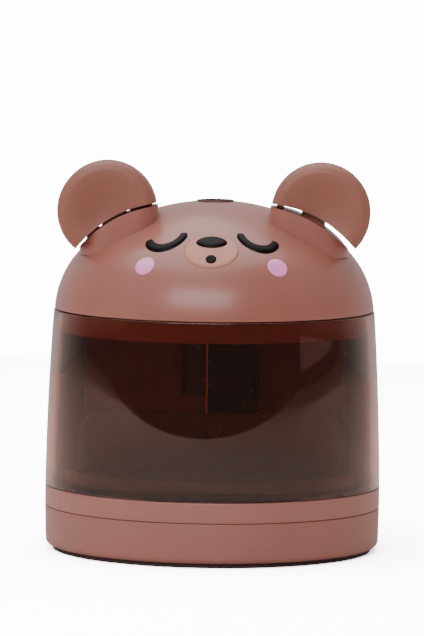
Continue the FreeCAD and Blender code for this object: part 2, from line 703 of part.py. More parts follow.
def eye_outline(side):
    """A closed eyelid: a curved stroke with round ends, seen from above."""
    centre_x, centre_y, curve, half = 11.2, -24.3, 4.4, 1.05
    points = []
    for reach, order in ((curve + half, (200, 345)), (curve - half, (345, 200))):
        for angle in order:
            points.append((centre_x + reach * math.cos(math.radians(angle)),
                           centre_y + reach * math.sin(math.radians(angle))))
    arcs = [(curve + half, 1), (half + 0.05, 1), (curve - half, -1), (half + 0.05, 1)]
    outline = [(x, y) + arc for (x, y), arc in zip(points, arcs)]
    if side > 0:
        return outline
    flipped = []
    for index in range(4):
        x, y = outline[-index][:2]
        flipped.append((-x, y) + outline[-index - 1][2:])
    return flipped


def build_face():
    skin = make_skin("face_skin", "inlay_proud")
    high_skin = make_skin("nose_skin", "inlay_proud*2")
    nose = make_inlay("nose", high_skin, "29.0", 0, "3.9", "2.55")
    mouth = make_inlay("mouth", skin, "33.6", 0, "1.45", "1.5")
    holes = doc.addObject("Part::MultiFuse", "snout_holes")
    holes.Shapes = [nose, mouth]
    make_inlay("snout_plate", skin, "31.2", 0, "6.6", "5.75", holes)
    for name, azimuth in (("cheek_left", -27.5), ("cheek_right", 27.5)):
        make_inlay(name, skin, "35.2", azimuth, "2.6", "2.6")
    for name, side in (("eye_left", -1), ("eye_right", 1)):
        stroke = prism(name + "_stroke", [eye_outline(side)], "rim_height", "dome_rise")
        eye = doc.addObject("Part::Common", name)
        eye.Base = high_skin
        eye.Tool = stroke
        eye.Label = name


# ---------------------------------------------------------------------------------------
# Pencil way, cutter and gears
# ---------------------------------------------------------------------------------------
def involute_outline(teeth, turn):
    """Closed wire of a spur gear; turn places a tooth (0) or a gap (0.5) on the +X side."""
    module = SIZES["gear_module"]
    pressure = math.radians(SIZES["pressure_angle"])
    pitch = teeth * module / 2
    base = pitch * math.cos(pressure)
    root = pitch - 1.05 * module
    tip = pitch + 0.8 * module
    backlash = 0.04

    def flank(radius):
        roll = math.acos(min(base / radius, 1))
        spread = math.tan(roll) - roll - (math.tan(pressure) - pressure)
        return math.pi / (2 * teeth) - backlash / pitch - spread

    start = max(base, root)
    radii = [start + (tip - start) * step / 4 for step in range(5)]
    edges = []
    previous = None
    for tooth in range(teeth):
        middle = 2 * math.pi * (tooth + turn) / teeth

        def spot(radius, angle):
            return FreeCAD.Vector(radius * math.cos(angle), radius * math.sin(angle), 0)

        rising = [spot(radius, middle - flank(radius)) for radius in radii]
        falling = [spot(radius, middle + flank(radius)) for radius in reversed(radii)]
        foot_in = spot(root, middle - flank(start))
        foot_out = spot(root, middle + flank(start))
        if previous is None:
            first = foot_in
        else:
            edges.append(Part.LineSegment(previous, foot_in).toShape())
        points = [foot_in] + rising + falling + [foot_out]
        for one, other in zip(points, points[1:]):
            if (one - other).Length > 1e-6:
                edges.append(Part.LineSegment(one, other).toShape())
        previous = foot_out
    edges.append(Part.LineSegment(previous, first).toShape())
    return Part.Wire(edges)


def gear_solid(teeth, bore, bottom, face, turn):
    blank = Part.Face(involute_outline(teeth, turn)).extrude(FreeCAD.Vector(0, 0, face))
    hole = Part.makeCylinder(bore, face + 2, FreeCAD.Vector(0, 0, -1))
    gear = blank.cut(hole)
    gear.translate(FreeCAD.Vector(0, 0, bottom))
    return gear.removeSplitter()


def add_shape(label, shape, x=0.0, y=0.0):
    feature = doc.addObject("Part::Feature", label)
    feature.Label = label
    feature.Shape = shape
    feature.Placement = feature.Placement * FreeCAD.Placement(FreeCAD.Vector(x, y, 0),
                                                              FreeCAD.Rotation())
    return feature


def mesh_phase(teeth, direction, partner_teeth, partner_phase):
    """Phase of a gear so that it meshes with its partner, seen along the line of centres.

    direction is the angle from the partner's axis to this gear's axis. A tooth of the
    partner that points along it must face a gap of this gear, which sits half a turn away.
    """
    along = direction * partner_teeth / (2 * math.pi) - partner_phase
    offset = along - math.floor(along)
    return (direction + math.pi) * teeth / (2 * math.pi) + offset - 0.5


def build_gears():
    idler_x, idler_y = number("idler_x"), number("idler_y")
    to_idler = math.atan2(idler_y, idler_x)
    to_motor = math.atan2(number("motor_offset") - idler_y, -idler_x)
    small_phase = mesh_phase(SIZES["idler_small_teeth"], to_idler, SIZES["ring_teeth"], 0)
    pinion_phase = mesh_phase(SIZES["pinion_teeth"], to_motor, SIZES["idler_large_teeth"], 0)
    pin_hole = number("gear_pin_radius + run_gap")
    lower, lower_face = number("lower_gear_height"), number("lower_gear_face")
    upper, upper_face = number("upper_gear_height"), number("upper_gear_face")
    add_shape("ring_gear", gear_solid(SIZES["ring_teeth"], number("neck_radius"), lower, lower_face, 0))
    idler = gear_solid(SIZES["idler_small_teeth"], pin_hole, lower, lower_face, small_phase)
    hub = Part.makeCylinder(2.6, upper - lower - lower_face, FreeCAD.Vector(0, 0, lower + lower_face))
    hub = hub.cut(Part.makeCylinder(pin_hole, 20, FreeCAD.Vector(0, 0, lower)))
    wheel = gear_solid(SIZES["idler_large_teeth"], pin_hole, upper, upper_face, 0)
    idler = idler.fuse([hub, wheel]).removeSplitter()
    add_shape("idler_gear", idler, idler_x, idler_y)
    pinion = gear_solid(SIZES["pinion_teeth"], number("shaft_radius"), upper, upper_face, pinion_phase)
    add_shape("motor_pinion", pinion, 0.0, number("motor_offset"))


def build_cutter():
    turned("pencil_guide", [
        ("bore_radius + 0.7", "guide_seat"), ("guide_flange", "guide_seat"),
        ("guide_flange", "guide_seat + 1.5"), ("guide_outer", "guide_seat + 1.5"),
        ("guide_outer", "crown_height + guide_proud"), ("bore_radius", "crown_height + guide_proud"),
        ("bore_radius", "guide_seat + 1.3"), ("bore_radius + 0.7", "guide_seat + 1.3")])
    cut_pocket(doc.getObject("pencil_guide"),
               [box_outline("-guide_flange - 1", "-1.5", "0", "1.5")], "guide_seat - 1", "2.3")
    carrier = turned("cutter_carrier", [
        ("0.6", "carrier_foot"), ("carrier_radius", "carrier_foot"),
        ("carrier_radius", "lower_gear_height - 0.05"), ("neck_radius", "lower_gear_height - 0.05"),
        ("neck_radius", "guide_seat - 0.3"), ("bore_radius + 0.2", "guide_seat - 0.3"),
        ("bore_radius + 0.2", "lower_gear_height"), ("0.6", "carrier_foot + 2.5")])
    cut_pocket(carrier, [box_outline("-carrier_radius - 1", "-carrier_radius - 1",
                                     "carrier_radius + 1", "-blade_seat")],
               "carrier_foot - 1", "deck_height - carrier_foot - 1")
    cut_pocket(carrier, [box_outline("0.4", "-carrier_radius", "3.4", "0")],
               "carrier_foot + 4", "deck_height - carrier_foot - 7")
    cut_pocket(carrier, [("-2.9", "carrier_foot + 10", "0.8")], "blade_seat - 1.4", "2", "XZ_Plane")
    blade = make_body("blade")
    add_pad(blade, [box_outline("-blade_reach", "carrier_foot + 1", "0.4", "deck_height - 4"),
                    ("-2.9", "carrier_foot + 10", "0.9")],
            "blade_seat", "blade_wall", "XZ_Plane")
    screw = make_body("blade_screw")
    add_pad(screw, [("-2.9", "carrier_foot + 10", "0.8")], "blade_seat - 1.4",
            "blade_wall + 1.5", "XZ_Plane")
    add_pad(screw, [("-2.9", "carrier_foot + 10", "1.5")], "blade_seat + blade_wall",
            "0.9", "XZ_Plane")
    make_cylinder("gear_pin", "gear_pin_radius", "guide_seat - deck_height", "idler_x", "idler_y",
                  "deck_height")






# ---------------------------------------------------------------------------------------
# Motor, cells, contacts and switches
# ---------------------------------------------------------------------------------------
def build_drive():
    top = "deck_height"
    can = make_body("motor_can")
    flat = "sqrt(motor_radius^2 - motor_flat^2)"
    back = "motor_offset + motor_flat"
    front = "motor_offset - motor_flat"
    add_pad(can, [[("-%s" % flat, front), (flat, front, "motor_radius", 1), (flat, back),
                   ("-%s" % flat, back, "motor_radius", 1)],
                  ("0", "motor_offset", "shaft_radius + run_gap")],
            "%s - motor_length" % top, "motor_length")
    add_pad(can, [("0", "motor_offset", "motor_boss"),
                  ("0", "motor_offset", "shaft_radius + run_gap")], "%s - 0.5" % top, "2")
    make_cylinder("motor_shaft", "shaft_radius",
                  "upper_gear_height + upper_gear_face + 0.6 - deck_height + motor_length + 1.2",
                  "0", "motor_offset", "deck_height - motor_length - 1.2")
    for name, side in (("cell_left", -1), ("cell_right", 1)):
        cell = make_body(name)
        x = mirrored("cell_offset", side)
        add_pad(cell, [(x, "cell_back", "cell_radius")], "cell_foot", "cell_length - 1")
        add_pad(cell, [(x, "cell_back", "2.7")], "cell_foot + cell_length - 2", "2")
        plate = box_outline("%s - 5" % x, "cell_back - 5", "%s + 5" % x, "cell_back + 5")
        prism("contact_%s" % name[5:], [plate], "cell_foot + cell_length", "0.5")
    prism("contact_bridge", [box_outline("-cell_offset - 5", "cell_back - 4", "cell_offset + 5",
                                         "cell_back + 4")], "floor_top", "0.5")
    for name, side in (("contact_spring_left", -1), ("contact_spring_right", 1)):
        turned_at(name, [("2.6", "floor_top + 0.5"), ("3.4", "floor_top + 0.5"),
                         ("3.4", "cell_foot"), ("2.6", "cell_foot")],
                  mirrored("cell_offset", side), "cell_back")
    prism("start_switch", [box_outline("-19.6", "-3.2", "-16.4", "3.2")], "guide_seat", "5.2")
    plunger = prism("start_plunger", [box_outline("-14.9", "-1.3", "-bore_radius + 0.7", "1.3")],
                    "guide_seat + 0.05", "1.15")
    add_pad(plunger, [box_outline("-14.9", "-1.3", "-13.4", "1.3")], "guide_seat + 0.05", "3.6")
    make_body("interlock_button")
    button = doc.getObject("interlock_button")
    add_pad(button, [("0", "sill_height + 12", "button_radius")],
            "-bulkhead_rear - 1.2", "bulkhead_rear + 1.2 - drawer_rear - 0.06", "XZ_Plane")
    prism("interlock_switch", [box_outline("-3.2", "bulkhead_rear + 1.25", "3.2",
                                           "bulkhead_rear + 6.5")],
          "sill_height + 7.5", "8.6")


def turned_at(label, points, x, y):
    body = turned(label, points)
    body.setExpression("Placement.Base.x", full(x))
    body.setExpression("Placement.Base.y", full(y))
    return body


# ---------------------------------------------------------------------------------------
# Build, check and write
# ---------------------------------------------------------------------------------------
NODES = [
    "foot_ring", "base_shell", "battery_door", "base_screws", "body_shell", "bulkhead",
    "drawer_window", "drawer_box", "chassis", "chassis_screws", "head_screws", "cutter_bush",
    "gear_cover", "cover_screws", "cutter_guard", "head_shell", "ear_left", "ear_right",
    "snout_plate", "nose", "mouth", "eye_left", "eye_right", "cheek_left", "cheek_right",
    "pencil_guide", "cutter_carrier", "blade", "blade_screw", "ring_gear", "idler_gear",
    "gear_pin", "motor_can", "motor_shaft", "motor_pinion", "cell_left", "cell_right",
    "contact_left", "contact_right", "contact_bridge", "contact_spring_left",
    "contact_spring_right", "start_switch", "start_plunger", "interlock_button",
    "interlock_switch"]

build_lower_case()
build_middle_case()
build_drawer()
build_chassis()
build_head()
build_ear("ear_left", -1)
build_ear("ear_right", 1)
build_face()
build_gears()
build_cutter()
build_drive()
doc.recompute()

for item in doc.Objects:
    if "Invalid" in item.State or "Error" in item.State:
        raise RuntimeError("%s failed: %s" % (item.Label, item.State))

os.makedirs("parts", exist_ok=True)
for name in NODES:
    node = doc.getObject(name)
    if node.Shape.isNull() or not node.Shape.isValid() or not node.Shape.Solids:
        raise RuntimeError("%s has no valid solid" % name)
    node.Shape.exportStep("parts/%s.step" % name)
print("wrote %d parts" % len(NODES))
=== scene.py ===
# %% [markdown]
# # A sleeping-bear pencil sharpener, finished in Blender
#
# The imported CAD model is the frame. It gives the place of every piece, and its hidden works keep
# their own meshes and only get finishes. The shells and the face that catch the light are built
# again here with smooth surfaces and softened edges, each in exactly the place of its CAD node.

import math

import bmesh
import bpy
from mathutils import Matrix, Vector


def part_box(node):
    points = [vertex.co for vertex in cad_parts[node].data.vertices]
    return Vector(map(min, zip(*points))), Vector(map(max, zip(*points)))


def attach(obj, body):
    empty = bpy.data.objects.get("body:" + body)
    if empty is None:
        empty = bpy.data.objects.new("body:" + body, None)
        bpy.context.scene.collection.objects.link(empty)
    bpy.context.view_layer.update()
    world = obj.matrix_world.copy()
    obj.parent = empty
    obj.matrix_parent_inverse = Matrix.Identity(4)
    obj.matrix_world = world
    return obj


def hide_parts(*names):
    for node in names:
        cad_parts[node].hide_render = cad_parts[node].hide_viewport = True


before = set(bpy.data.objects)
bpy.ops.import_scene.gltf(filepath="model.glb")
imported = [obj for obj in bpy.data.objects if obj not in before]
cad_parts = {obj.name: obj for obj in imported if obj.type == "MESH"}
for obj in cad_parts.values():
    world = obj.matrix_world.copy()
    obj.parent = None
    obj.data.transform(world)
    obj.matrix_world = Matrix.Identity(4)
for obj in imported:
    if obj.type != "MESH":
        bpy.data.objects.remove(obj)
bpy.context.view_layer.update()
MM = 0.001
scene = bpy.context.scene

# %% [markdown]
# ## The view
#
# The object stands on a pale table and is seen from far away through a long lens, so its sides
# stay almost parallel. The camera is a little above the head, looks slightly down and leans over by
# less than a degree, as a camera held by hand does.

# %% Camera
VIEW_DISTANCE = 1.39
VIEW_HEIGHT = 0.178
VIEW_AZIMUTH = math.radians(1.6)
VIEW_ROLL = math.radians(0.65)
LOOK_AT = Vector((-0.00055, 0.0, 0.0580))

camera_data = bpy.data.cameras.new("view")
camera_data.lens = 315
camera_data.sensor_width = 36
camera_data.clip_end = 20
camera = bpy.data.objects.new("view", camera_data)
scene.collection.objects.link(camera)
camera.location = (VIEW_DISTANCE * math.sin(VIEW_AZIMUTH),
                   -VIEW_DISTANCE * math.cos(VIEW_AZIMUTH), VIEW_HEIGHT)
look = (LOOK_AT - camera.location).to_track_quat("-Z", "Y").to_matrix()
camera.rotation_euler = (look @ Matrix.Rotation(VIEW_ROLL, 3, "Z")).to_euler()
scene.camera = camera
print("camera at", tuple(round(value, 3) for value in camera.location))

# %% [markdown]
# ## Light and table
#
# A broad panel overhead and a fill in front give the satin plastic its soft sheen. A panel at each
# side lights the flanks, and is left out of reflections, where its outline would draw hard bars in
# the window. The room is dim at the front and brighter behind. Seen directly it is bright white,
# like a lit paper backdrop, but what it lights and mirrors is the dim room. The table is a finite
# sheet whose front edge runs at a slant between the object and the camera, so the curved window
# mirrors the table in its lower part and the darker room above it.

# %% Table, panels and surroundings
TABLE_FRONT = -0.81
TABLE_SLANT = 0.15
TABLE_BACK = 0.5
TABLE_HALF = 2.2


def area_light(name, place, aim, width, height, power):
    data = bpy.data.lights.new(name, "AREA")
    data.shape = "RECTANGLE"
    data.size = width
    data.size_y = height
    data.energy = power
    lamp = bpy.data.objects.new(name, data)
    scene.collection.objects.link(lamp)
    lamp.location = place
    lamp.rotation_euler = (Vector(aim) - Vector(place)).to_track_quat("-Z", "Y").to_euler()
    return lamp


area_light("overhead_panel", place=(-0.10, 0.10, 1.00), aim=(0, 0, 0.05),
           width=1.1, height=1.1, power=9.5)
side_panels = [
    area_light("left_panel", place=(-1.05, -0.45, 0.55), aim=(0, 0, 0.06),
               width=0.9, height=1.0, power=5.5),
    area_light("right_panel", place=(1.05, -0.15, 0.50), aim=(0, 0, 0.06),
               width=0.7, height=1.0, power=2.8),
]
for panel in side_panels:
    panel.visible_glossy = False
area_light("front_fill", place=(-0.28, -1.65, 1.05), aim=(0, 0, 0.05),
           width=1.5, height=0.7, power=18)

ROOM_COLOUR, PAPER_COLOUR, PAPER_STRENGTH = (1, 0.97, 0.96, 1), (1, 1, 1, 1), 14.0
ROOM_FADE = {"From Min": 0.15, "From Max": 0.75, "To Min": 0.12, "To Max": 0.62}

world = bpy.data.worlds.new("room")
scene.world = world
world.use_nodes = True
tree = world.node_tree
tree.nodes.clear()
room = tree.nodes.new("ShaderNodeBackground")
towards = tree.nodes.new("ShaderNodeTexCoord")
split = tree.nodes.new("ShaderNodeSeparateXYZ")
backdrop = tree.nodes.new("ShaderNodeMapRange")
for key, value in ROOM_FADE.items():
    backdrop.inputs[key].default_value = value
tree.links.new(towards.outputs["Generated"], split.inputs[0])
tree.links.new(split.outputs["Y"], backdrop.inputs["Value"])
tree.links.new(backdrop.outputs[0], room.inputs["Strength"])
room.inputs["Color"].default_value = ROOM_COLOUR
paper = tree.nodes.new("ShaderNodeBackground")
paper.inputs["Color"].default_value = PAPER_COLOUR
paper.inputs["Strength"].default_value = PAPER_STRENGTH
seen = tree.nodes.new("ShaderNodeLightPath")
mixed = tree.nodes.new("ShaderNodeMixShader")
surroundings = tree.nodes.new("ShaderNodeOutputWorld")
tree.links.new(seen.outputs["Is Camera Ray"], mixed.inputs[0])
tree.links.new(room.outputs[0], mixed.inputs[1])
tree.links.new(paper.outputs[0], mixed.inputs[2])
tree.links.new(mixed.outputs[0], surroundings.inputs["Surface"])

# %% [markdown]
# ## Writing finishes as sums
#
# A finish is a few noise patterns mixed into colour, roughness and bump. `Wire` wraps a socket so
# that such a mix reads as arithmetic, and `Finish.node` makes any other node in one line.

# %% Shader helpers
# A Mix node has a set of sockets for each kind of data; these are its colour sockets.
MIX_FACTOR, MIX_FIRST, MIX_SECOND, MIX_RESULT = 0, 6, 7, 2


class Wire:
    def __init__(self, finish, socket):
        self.finish = finish
        self.socket = socket

    def _math(self, operation, first, second):
        return self.finish.node("ShaderNodeMath", {"operation": operation}, {0: first, 1: second})

    def __add__(self, other):
        return self._math("ADD", self, other)

    def __mul__(self, other):
        return self._math("MULTIPLY", self, other)


class Finish:
    def __init__(self, name):
        self.material = bpy.data.materials.new(name)
        self.material.use_nodes = True
        self.tree = self.material.node_tree
        self.tree.nodes.clear()
        self.shader = self.tree.nodes.new("ShaderNodeBsdfPrincipled")
        output = self.tree.nodes.new("ShaderNodeOutputMaterial")
        self.tree.links.new(self.shader.outputs[0], output.inputs["Surface"])

    def feed(self, node, key, value):
        if isinstance(value, Wire):
            self.tree.links.new(value.socket, node.inputs[key])
        else:
            node.inputs[key].default_value = value

    def node(self, kind, settings=None, values=None, out=0):
        made = self.tree.nodes.new(kind)
        for key, value in (settings or {}).items():
            setattr(made, key, value)
        for key, value in (values or {}).items():
            self.feed(made, key, value)
        return Wire(self, made.outputs[out])

    def place(self):
        return self.node("ShaderNodeTexCoord", out="Object")

    def noise(self, scale, detail=2.0, stretch=None):
        place = self.place()
        if stretch:
            place = self.node("ShaderNodeMapping", {}, {"Vector": place, "Scale": stretch})
        return self.node("ShaderNodeTexNoise", {}, {
            "Vector": place, "Scale": scale, "Detail": detail})

    def band(self, value, low, high):
        return self.node("ShaderNodeMapRange", {}, {
            "Value": value, "From Min": low, "From Max": high})

    def blend(self, factor, first, second):
        return self.node("ShaderNodeMix", {"data_type": "RGBA"},
                         {MIX_FACTOR: factor, MIX_FIRST: first, MIX_SECOND: second},
                         out=MIX_RESULT)

    def set(self, **values):
        for key, value in values.items():
            self.feed(self.shader, key.replace("_", " "), value)

    def bump(self, height, strength, distance):
        self.set(Normal=self.node("ShaderNodeBump", {}, {
            "Strength": strength, "Distance": distance, "Height": height}))


def tint(colour, factor):
    return tuple(channel * factor for channel in colour) + (1,)


print("shader helpers ready")

# %% [markdown]
# ## Moulded plastic
#
# The case is satin-gloss ABS: one colour all through, with a very faint cloudiness from the
# pigment, an orange-peel ripple too low to see except in its highlights, and a roughness that
# varies a little where hands have polished it. The case, its sill, its base and the ears are
# separate mouldings. The case and the ears each have their own shade; the sill is a little lighter
# than the base as painted light and painted shade, the upper band catching the light from above and
# the lower band turned away from it. One function makes every moulded finish.

# %% Moulded finishes


def moulded(name, colour, rough=0.3, cloud=0.06, peel=0.05, coat=0.12, index=1.5):
    finish = Finish(name)
    pigment = finish.noise(90, 4)
    handled = finish.noise(35, 3)
    grain = finish.noise(1500, 2)
    finish.set(Base_Color=finish.blend(pigment, tint(colour, 1 - cloud), tint(colour, 1 + cloud)),
               Roughness=handled * 0.12 + (rough - 0.06))
    finish.bump(grain, peel, 0.00004)
    finish.set(Coat_Weight=coat, Coat_Roughness=0.20, IOR=index)
    return finish.material


case_plastic = moulded("cocoa_case", (0.345, 0.126, 0.098), 0.34, coat=0.26)
# The sill's tone, a little lighter than the base's, is painted light: the upper band catching the
# light from above.
sill_plastic = moulded("cocoa_sill_painted_light", (0.36, 0.150, 0.122), 0.38)
# The base's tone, a little darker than the sill's, is painted shade: the lower band turned away
# from the light above.
base_plastic_painted_shade = moulded("cocoa_base_painted_shade", (0.335, 0.136, 0.110), 0.42, coat=0.1)
ear_plastic = moulded("ear_cocoa", (0.300, 0.114, 0.081), 0.46, coat=0.03)
snout_plastic = moulded("snout_tan", (0.54, 0.222, 0.158), 0.46, coat=0.05)
collar_plastic = moulded("dark_collar", (0.085, 0.036, 0.028), 0.34)
black_gloss = moulded("face_black", (0.005, 0.003, 0.003), 0.40, coat=0, index=1.22)
pink_gloss = moulded("cheek_pink", (0.92, 0.31, 0.66), 0.2, coat=0.6)
black_plastic = moulded("guard_black", (0.020, 0.018, 0.018), 0.5, coat=0)
acetal = moulded("white_acetal", (0.74, 0.72, 0.66), 0.42, coat=0)
# The foot ring's dark tone is partly the rubber's own colour and partly painted shade for the gap
# under the base.
rubber_and_gap_shade = moulded("foot_rubber", (0.045, 0.024, 0.024), 0.72, cloud=0.15, peel=0.3, coat=0)
print("moulded finishes made")

# %% [markdown]
# ## Metals, cells and the smoked window
#
# Metal pieces get fine lengthwise marks in roughness and bump. The blade's steel is painted dark,
# painted shade for the guard's shadow over it. A cell's jacket changes colour at a band near its
# top, and the dark cutter guard has a bright copper-coloured band along one edge, a painted
# highlight for the light that catches that edge. The drawer's front is clear plastic dyed brown:
# light is coloured as it passes, and the surface keeps a sharp mirror with a few hairline marks and
# specks of dust.

# %% Metal, cell and window finishes


def drawn_metal(name, colour, rough):
    finish = Finish(name)
    marks = finish.noise(900, 2, (1, 1, 0.08))
    finish.set(Base_Color=finish.blend(marks, tint(colour, 0.85), tint(colour, 1.1)),
               Roughness=marks * 0.2 + rough, Metallic=1.0)
    finish.bump(marks, 0.15, 0.00003)
    return finish.material


def height_of(finish):
    place = finish.place()
    return finish.node("ShaderNodeSeparateXYZ", {}, {"Vector": place}, out="Z")


# The guard's bright copper-coloured band along one edge is a painted highlight for the light that
# catches that edge.
GUARD_BLACK, GUARD_PAINTED_HIGHLIGHT = (0.020, 0.018, 0.018, 1), (1.0, 0.42, 0.20, 1)
HIGHLIGHT_FROM, HIGHLIGHT_FULL = -1.10 * MM, -1.16 * MM
JACKET_BLACK, JACKET_COPPER = (0.03, 0.03, 0.035, 1), (0.62, 0.34, 0.10, 1)
JACKET_BAND_LOW, JACKET_BAND_HIGH = 13.2 * MM, 13.0 * MM
DYED_BROWN, DUSTY_BROWN = (0.57, 0.29, 0.21, 1), (0.66, 0.46, 0.38, 1)

steel = drawn_metal("bright_steel", (0.62, 0.62, 0.63), 0.22)
# Black guard with a painted highlight: a bright band masked along one edge.
guard = Finish("guard_painted_highlight")
across = guard.node("ShaderNodeSeparateXYZ", {}, {"Vector": guard.place()}, out="X")
painted_edge_highlight = guard.band(across, HIGHLIGHT_FROM, HIGHLIGHT_FULL)
guard.set(Base_Color=guard.blend(painted_edge_highlight, GUARD_BLACK, GUARD_PAINTED_HIGHLIGHT),
          Roughness=guard.noise(120, 3) * 0.2 + 0.4)
guard.bump(guard.noise(1500, 2), 0.1, 0.00004)
# The blade and its screw are bright steel painted dark: painted shade for the shadow the guard
# casts on them.
shade_darkened_steel = drawn_metal("steel_painted_shade", (0.10, 0.085, 0.080), 0.30)
zinc = drawn_metal("zinc_plate", (0.55, 0.54, 0.50), 0.34)
bronze = drawn_metal("sintered_bronze", (0.60, 0.38, 0.18), 0.42)

jacket = Finish("cell_jacket")
cell_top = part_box("cell_left")[1].z
collar_band = jacket.band(height_of(jacket), cell_top - JACKET_BAND_LOW,
                          cell_top - JACKET_BAND_HIGH)
jacket.set(Base_Color=jacket.blend(collar_band, JACKET_BLACK, JACKET_COPPER),
           Roughness=jacket.noise(60, 2) * 0.1 + 0.22, Metallic=0.3)

smoked = Finish("smoked_window")
hairlines = smoked.noise(260, 2, (1, 1, 0.05))
dust = smoked.band(smoked.noise(900, 1), 0.70, 0.76)
smoked.set(Base_Color=smoked.blend(dust * 0.6, DYED_BROWN, DUSTY_BROWN),
           Roughness=hairlines * 0.02 + 0.008 + dust * 0.2)
smoked.bump(hairlines, 0.02, 0.00001)
smoked.set(Transmission_Weight=1.0, IOR=1.49, Coat_Weight=0.1, Coat_Roughness=0.02)
smoked_window = smoked.material
print("metal, cell and window finishes made")

# %% [markdown]
# ## Turned shells
#
# Every shell is a section turned about the upright axis. The sections are closed loops of radius
# and height in millimetres, with their corners rounded by arcs, so an edge has a real radius
# that catches a highlight. `turn` spins a loop all the way round, or part of the way with flat
# ends. `extruded` raises a plan outline, `carve` cuts or adds such a solid with an exact boolean,
# and `join` lays one closed shell beside another in the same mesh where a boolean isn't needed.

# %% Turning


def arc(centre, radius, first, last, steps=8):
    """Points on an arc, its angles in degrees from the outward direction."""
    points = []
    for step in range(steps + 1):
        angle = math.radians(first + (last - first) * step / steps)
        points.append((centre[0] + radius * math.cos(angle),
                       centre[1] + radius * math.sin(angle)))
    return points


def circle(centre, radius, points=24):
    """A whole circle as a closed outline."""
    return arc(centre, radius, 0, 360 - 360 / points, points - 1)


def rounded(points, radius, steps=4):
    """The closed loop with each corner cut by a small arc."""
    loop = []
    for index, corner in enumerate(points):
        corner = Vector(corner)
        before = Vector(points[index - 1]) - corner
        after = Vector(points[(index + 1) % len(points)]) - corner
        reach = min(radius, before.length * 0.45, after.length * 0.45)
        start = corner + before.normalized() * reach
        stop = corner + after.normalized() * reach
        for step in range(steps + 1):
            t = step / steps
            loop.append(tuple(start * (1 - t) ** 2 + corner * 2 * t * (1 - t) + stop * t ** 2))
    return loop


def new_piece(name, mesh_maker, material, smooth_angle=38):
    """A mesh object at the origin, its faces turned outwards and smooth but for sharp edges."""
    build = bmesh.new()
    mesh_maker(build)
    bmesh.ops.remove_doubles(build, verts=build.verts, dist=1e-6)
    bmesh.ops.dissolve_degenerate(build, edges=build.edges, dist=1e-7)
    bmesh.ops.recalc_face_normals(build, faces=build.faces)
    mesh = bpy.data.meshes.new(name)
    build.to_mesh(mesh)
    build.free()
    mesh.materials.append(material)
    piece = bpy.data.objects.new(name, mesh)
    scene.collection.objects.link(piece)
    soften(piece, smooth_angle)
    return piece


def soften(piece, smooth_angle=38):
    piece.data.shade_smooth()
    piece.data.set_sharp_from_angle(angle=math.radians(smooth_angle))


def turn(loop, steps=160, start=0.0, sweep=360.0):
    """A mesh maker that spins the loop about Z; 0 degrees is the front, towards -Y."""
    def make(build):
        whole = abs(sweep - 360) < 1e-6
        count = steps if whole else steps + 1
        rings = []
        for step in range(count):
            angle = math.radians(start + sweep * step / steps)
            rings.append([build.verts.new((radius * math.sin(angle) * MM,
                                           -radius * math.cos(angle) * MM, height * MM))
                          for radius, height in loop])
        for step in range(steps):
            one, other = rings[step], rings[(step + 1) % count]
            for index in range(len(loop)):
                after = (index + 1) % len(loop)
                quad = [one[index], other[index], other[after], one[after]]
                if max(loop[index][0], loop[after][0]) > 1e-9:
                    build.faces.new(quad)
        if not whole:
            build.faces.new(rings[0])
            build.faces.new(list(reversed(rings[-1])))
    return make


def extruded(outline, low, high):
    """A mesh maker that raises a plan outline between two heights, all in millimetres."""
    def make(build):
        bottom = [build.verts.new((x * MM, y * MM, low * MM)) for x, y in outline]
        top = [build.verts.new((x * MM, y * MM, high * MM)) for x, y in outline]
        build.faces.new(list(reversed(bottom)))
        build.faces.new(top)
        for index in range(len(outline)):
            after = (index + 1) % len(outline)
            build.faces.new([bottom[index], bottom[after], top[after], top[index]])
    return make


def combine(piece, other, operation):
    """Applies one exact boolean and removes the tool."""
    modifier = piece.modifiers.new("combine", "BOOLEAN")
    modifier.object = other
    modifier.operation = operation
    modifier.solver = "EXACT"
    bake_modifiers(piece)
    bpy.data.objects.remove(other)


def carve(piece, maker, operation="DIFFERENCE"):
    """Cuts a simple solid out of a piece, or adds it, in the piece's own material."""
    combine(piece, new_piece("tool", maker, piece.data.materials[0]), operation)


def join(piece, other):
    """Adds another closed shell to a piece and removes the original."""
    build = bmesh.new()
    build.from_mesh(piece.data)
    build.from_mesh(other.data)
    build.to_mesh(piece.data)
    build.free()
    bpy.data.objects.remove(other)


def bake_modifiers(piece):
    bpy.context.view_layer.update()
    evaluated = piece.evaluated_get(bpy.context.evaluated_depsgraph_get())
    made = bpy.data.meshes.new_from_object(evaluated)
    piece.modifiers.clear()
    piece.data = made


def bevel_edges(piece, width, angle=35, segments=3):
    modifier = piece.modifiers.new("edge", "BEVEL")
    modifier.width = width
    modifier.segments = segments
    modifier.limit_method = "ANGLE"
    modifier.angle_limit = math.radians(angle)
    modifier.use_clamp_overlap = True
    bake_modifiers(piece)


print("turning ready")

# %% [markdown]
# ## Sizes of the form
#
# These are the object's own sizes in millimetres, as in the CAD model. The dome is two
# arcs: a rounded shoulder that leaves the rim at a slight draft, and a flatter crown that meets it
# in one tangent. The side has a belly of a third of a millimetre.

# %% Sizes
BODY_RADIUS, SHOULDER_RADIUS, RIM_RADIUS = 42.0, 40.2, 40.0
FOOT_HEIGHT, BASE_HEIGHT, SILL_HEIGHT, RIM_HEIGHT = 1.15, 11.1, 16.2, 60.3
DOME_RISE, DOME_CORNER, DOME_DRAFT = 27.3, 23.2, 3.0
SHELL_WALL, WINDOW_WALL, SEAM = 1.9, 1.8, 0.12
SIDE_SWEEP = 812.0
WINDOW_EDGE = 0.8
BORE_RADIUS, GUIDE_OUTER = 4.2, 4.7

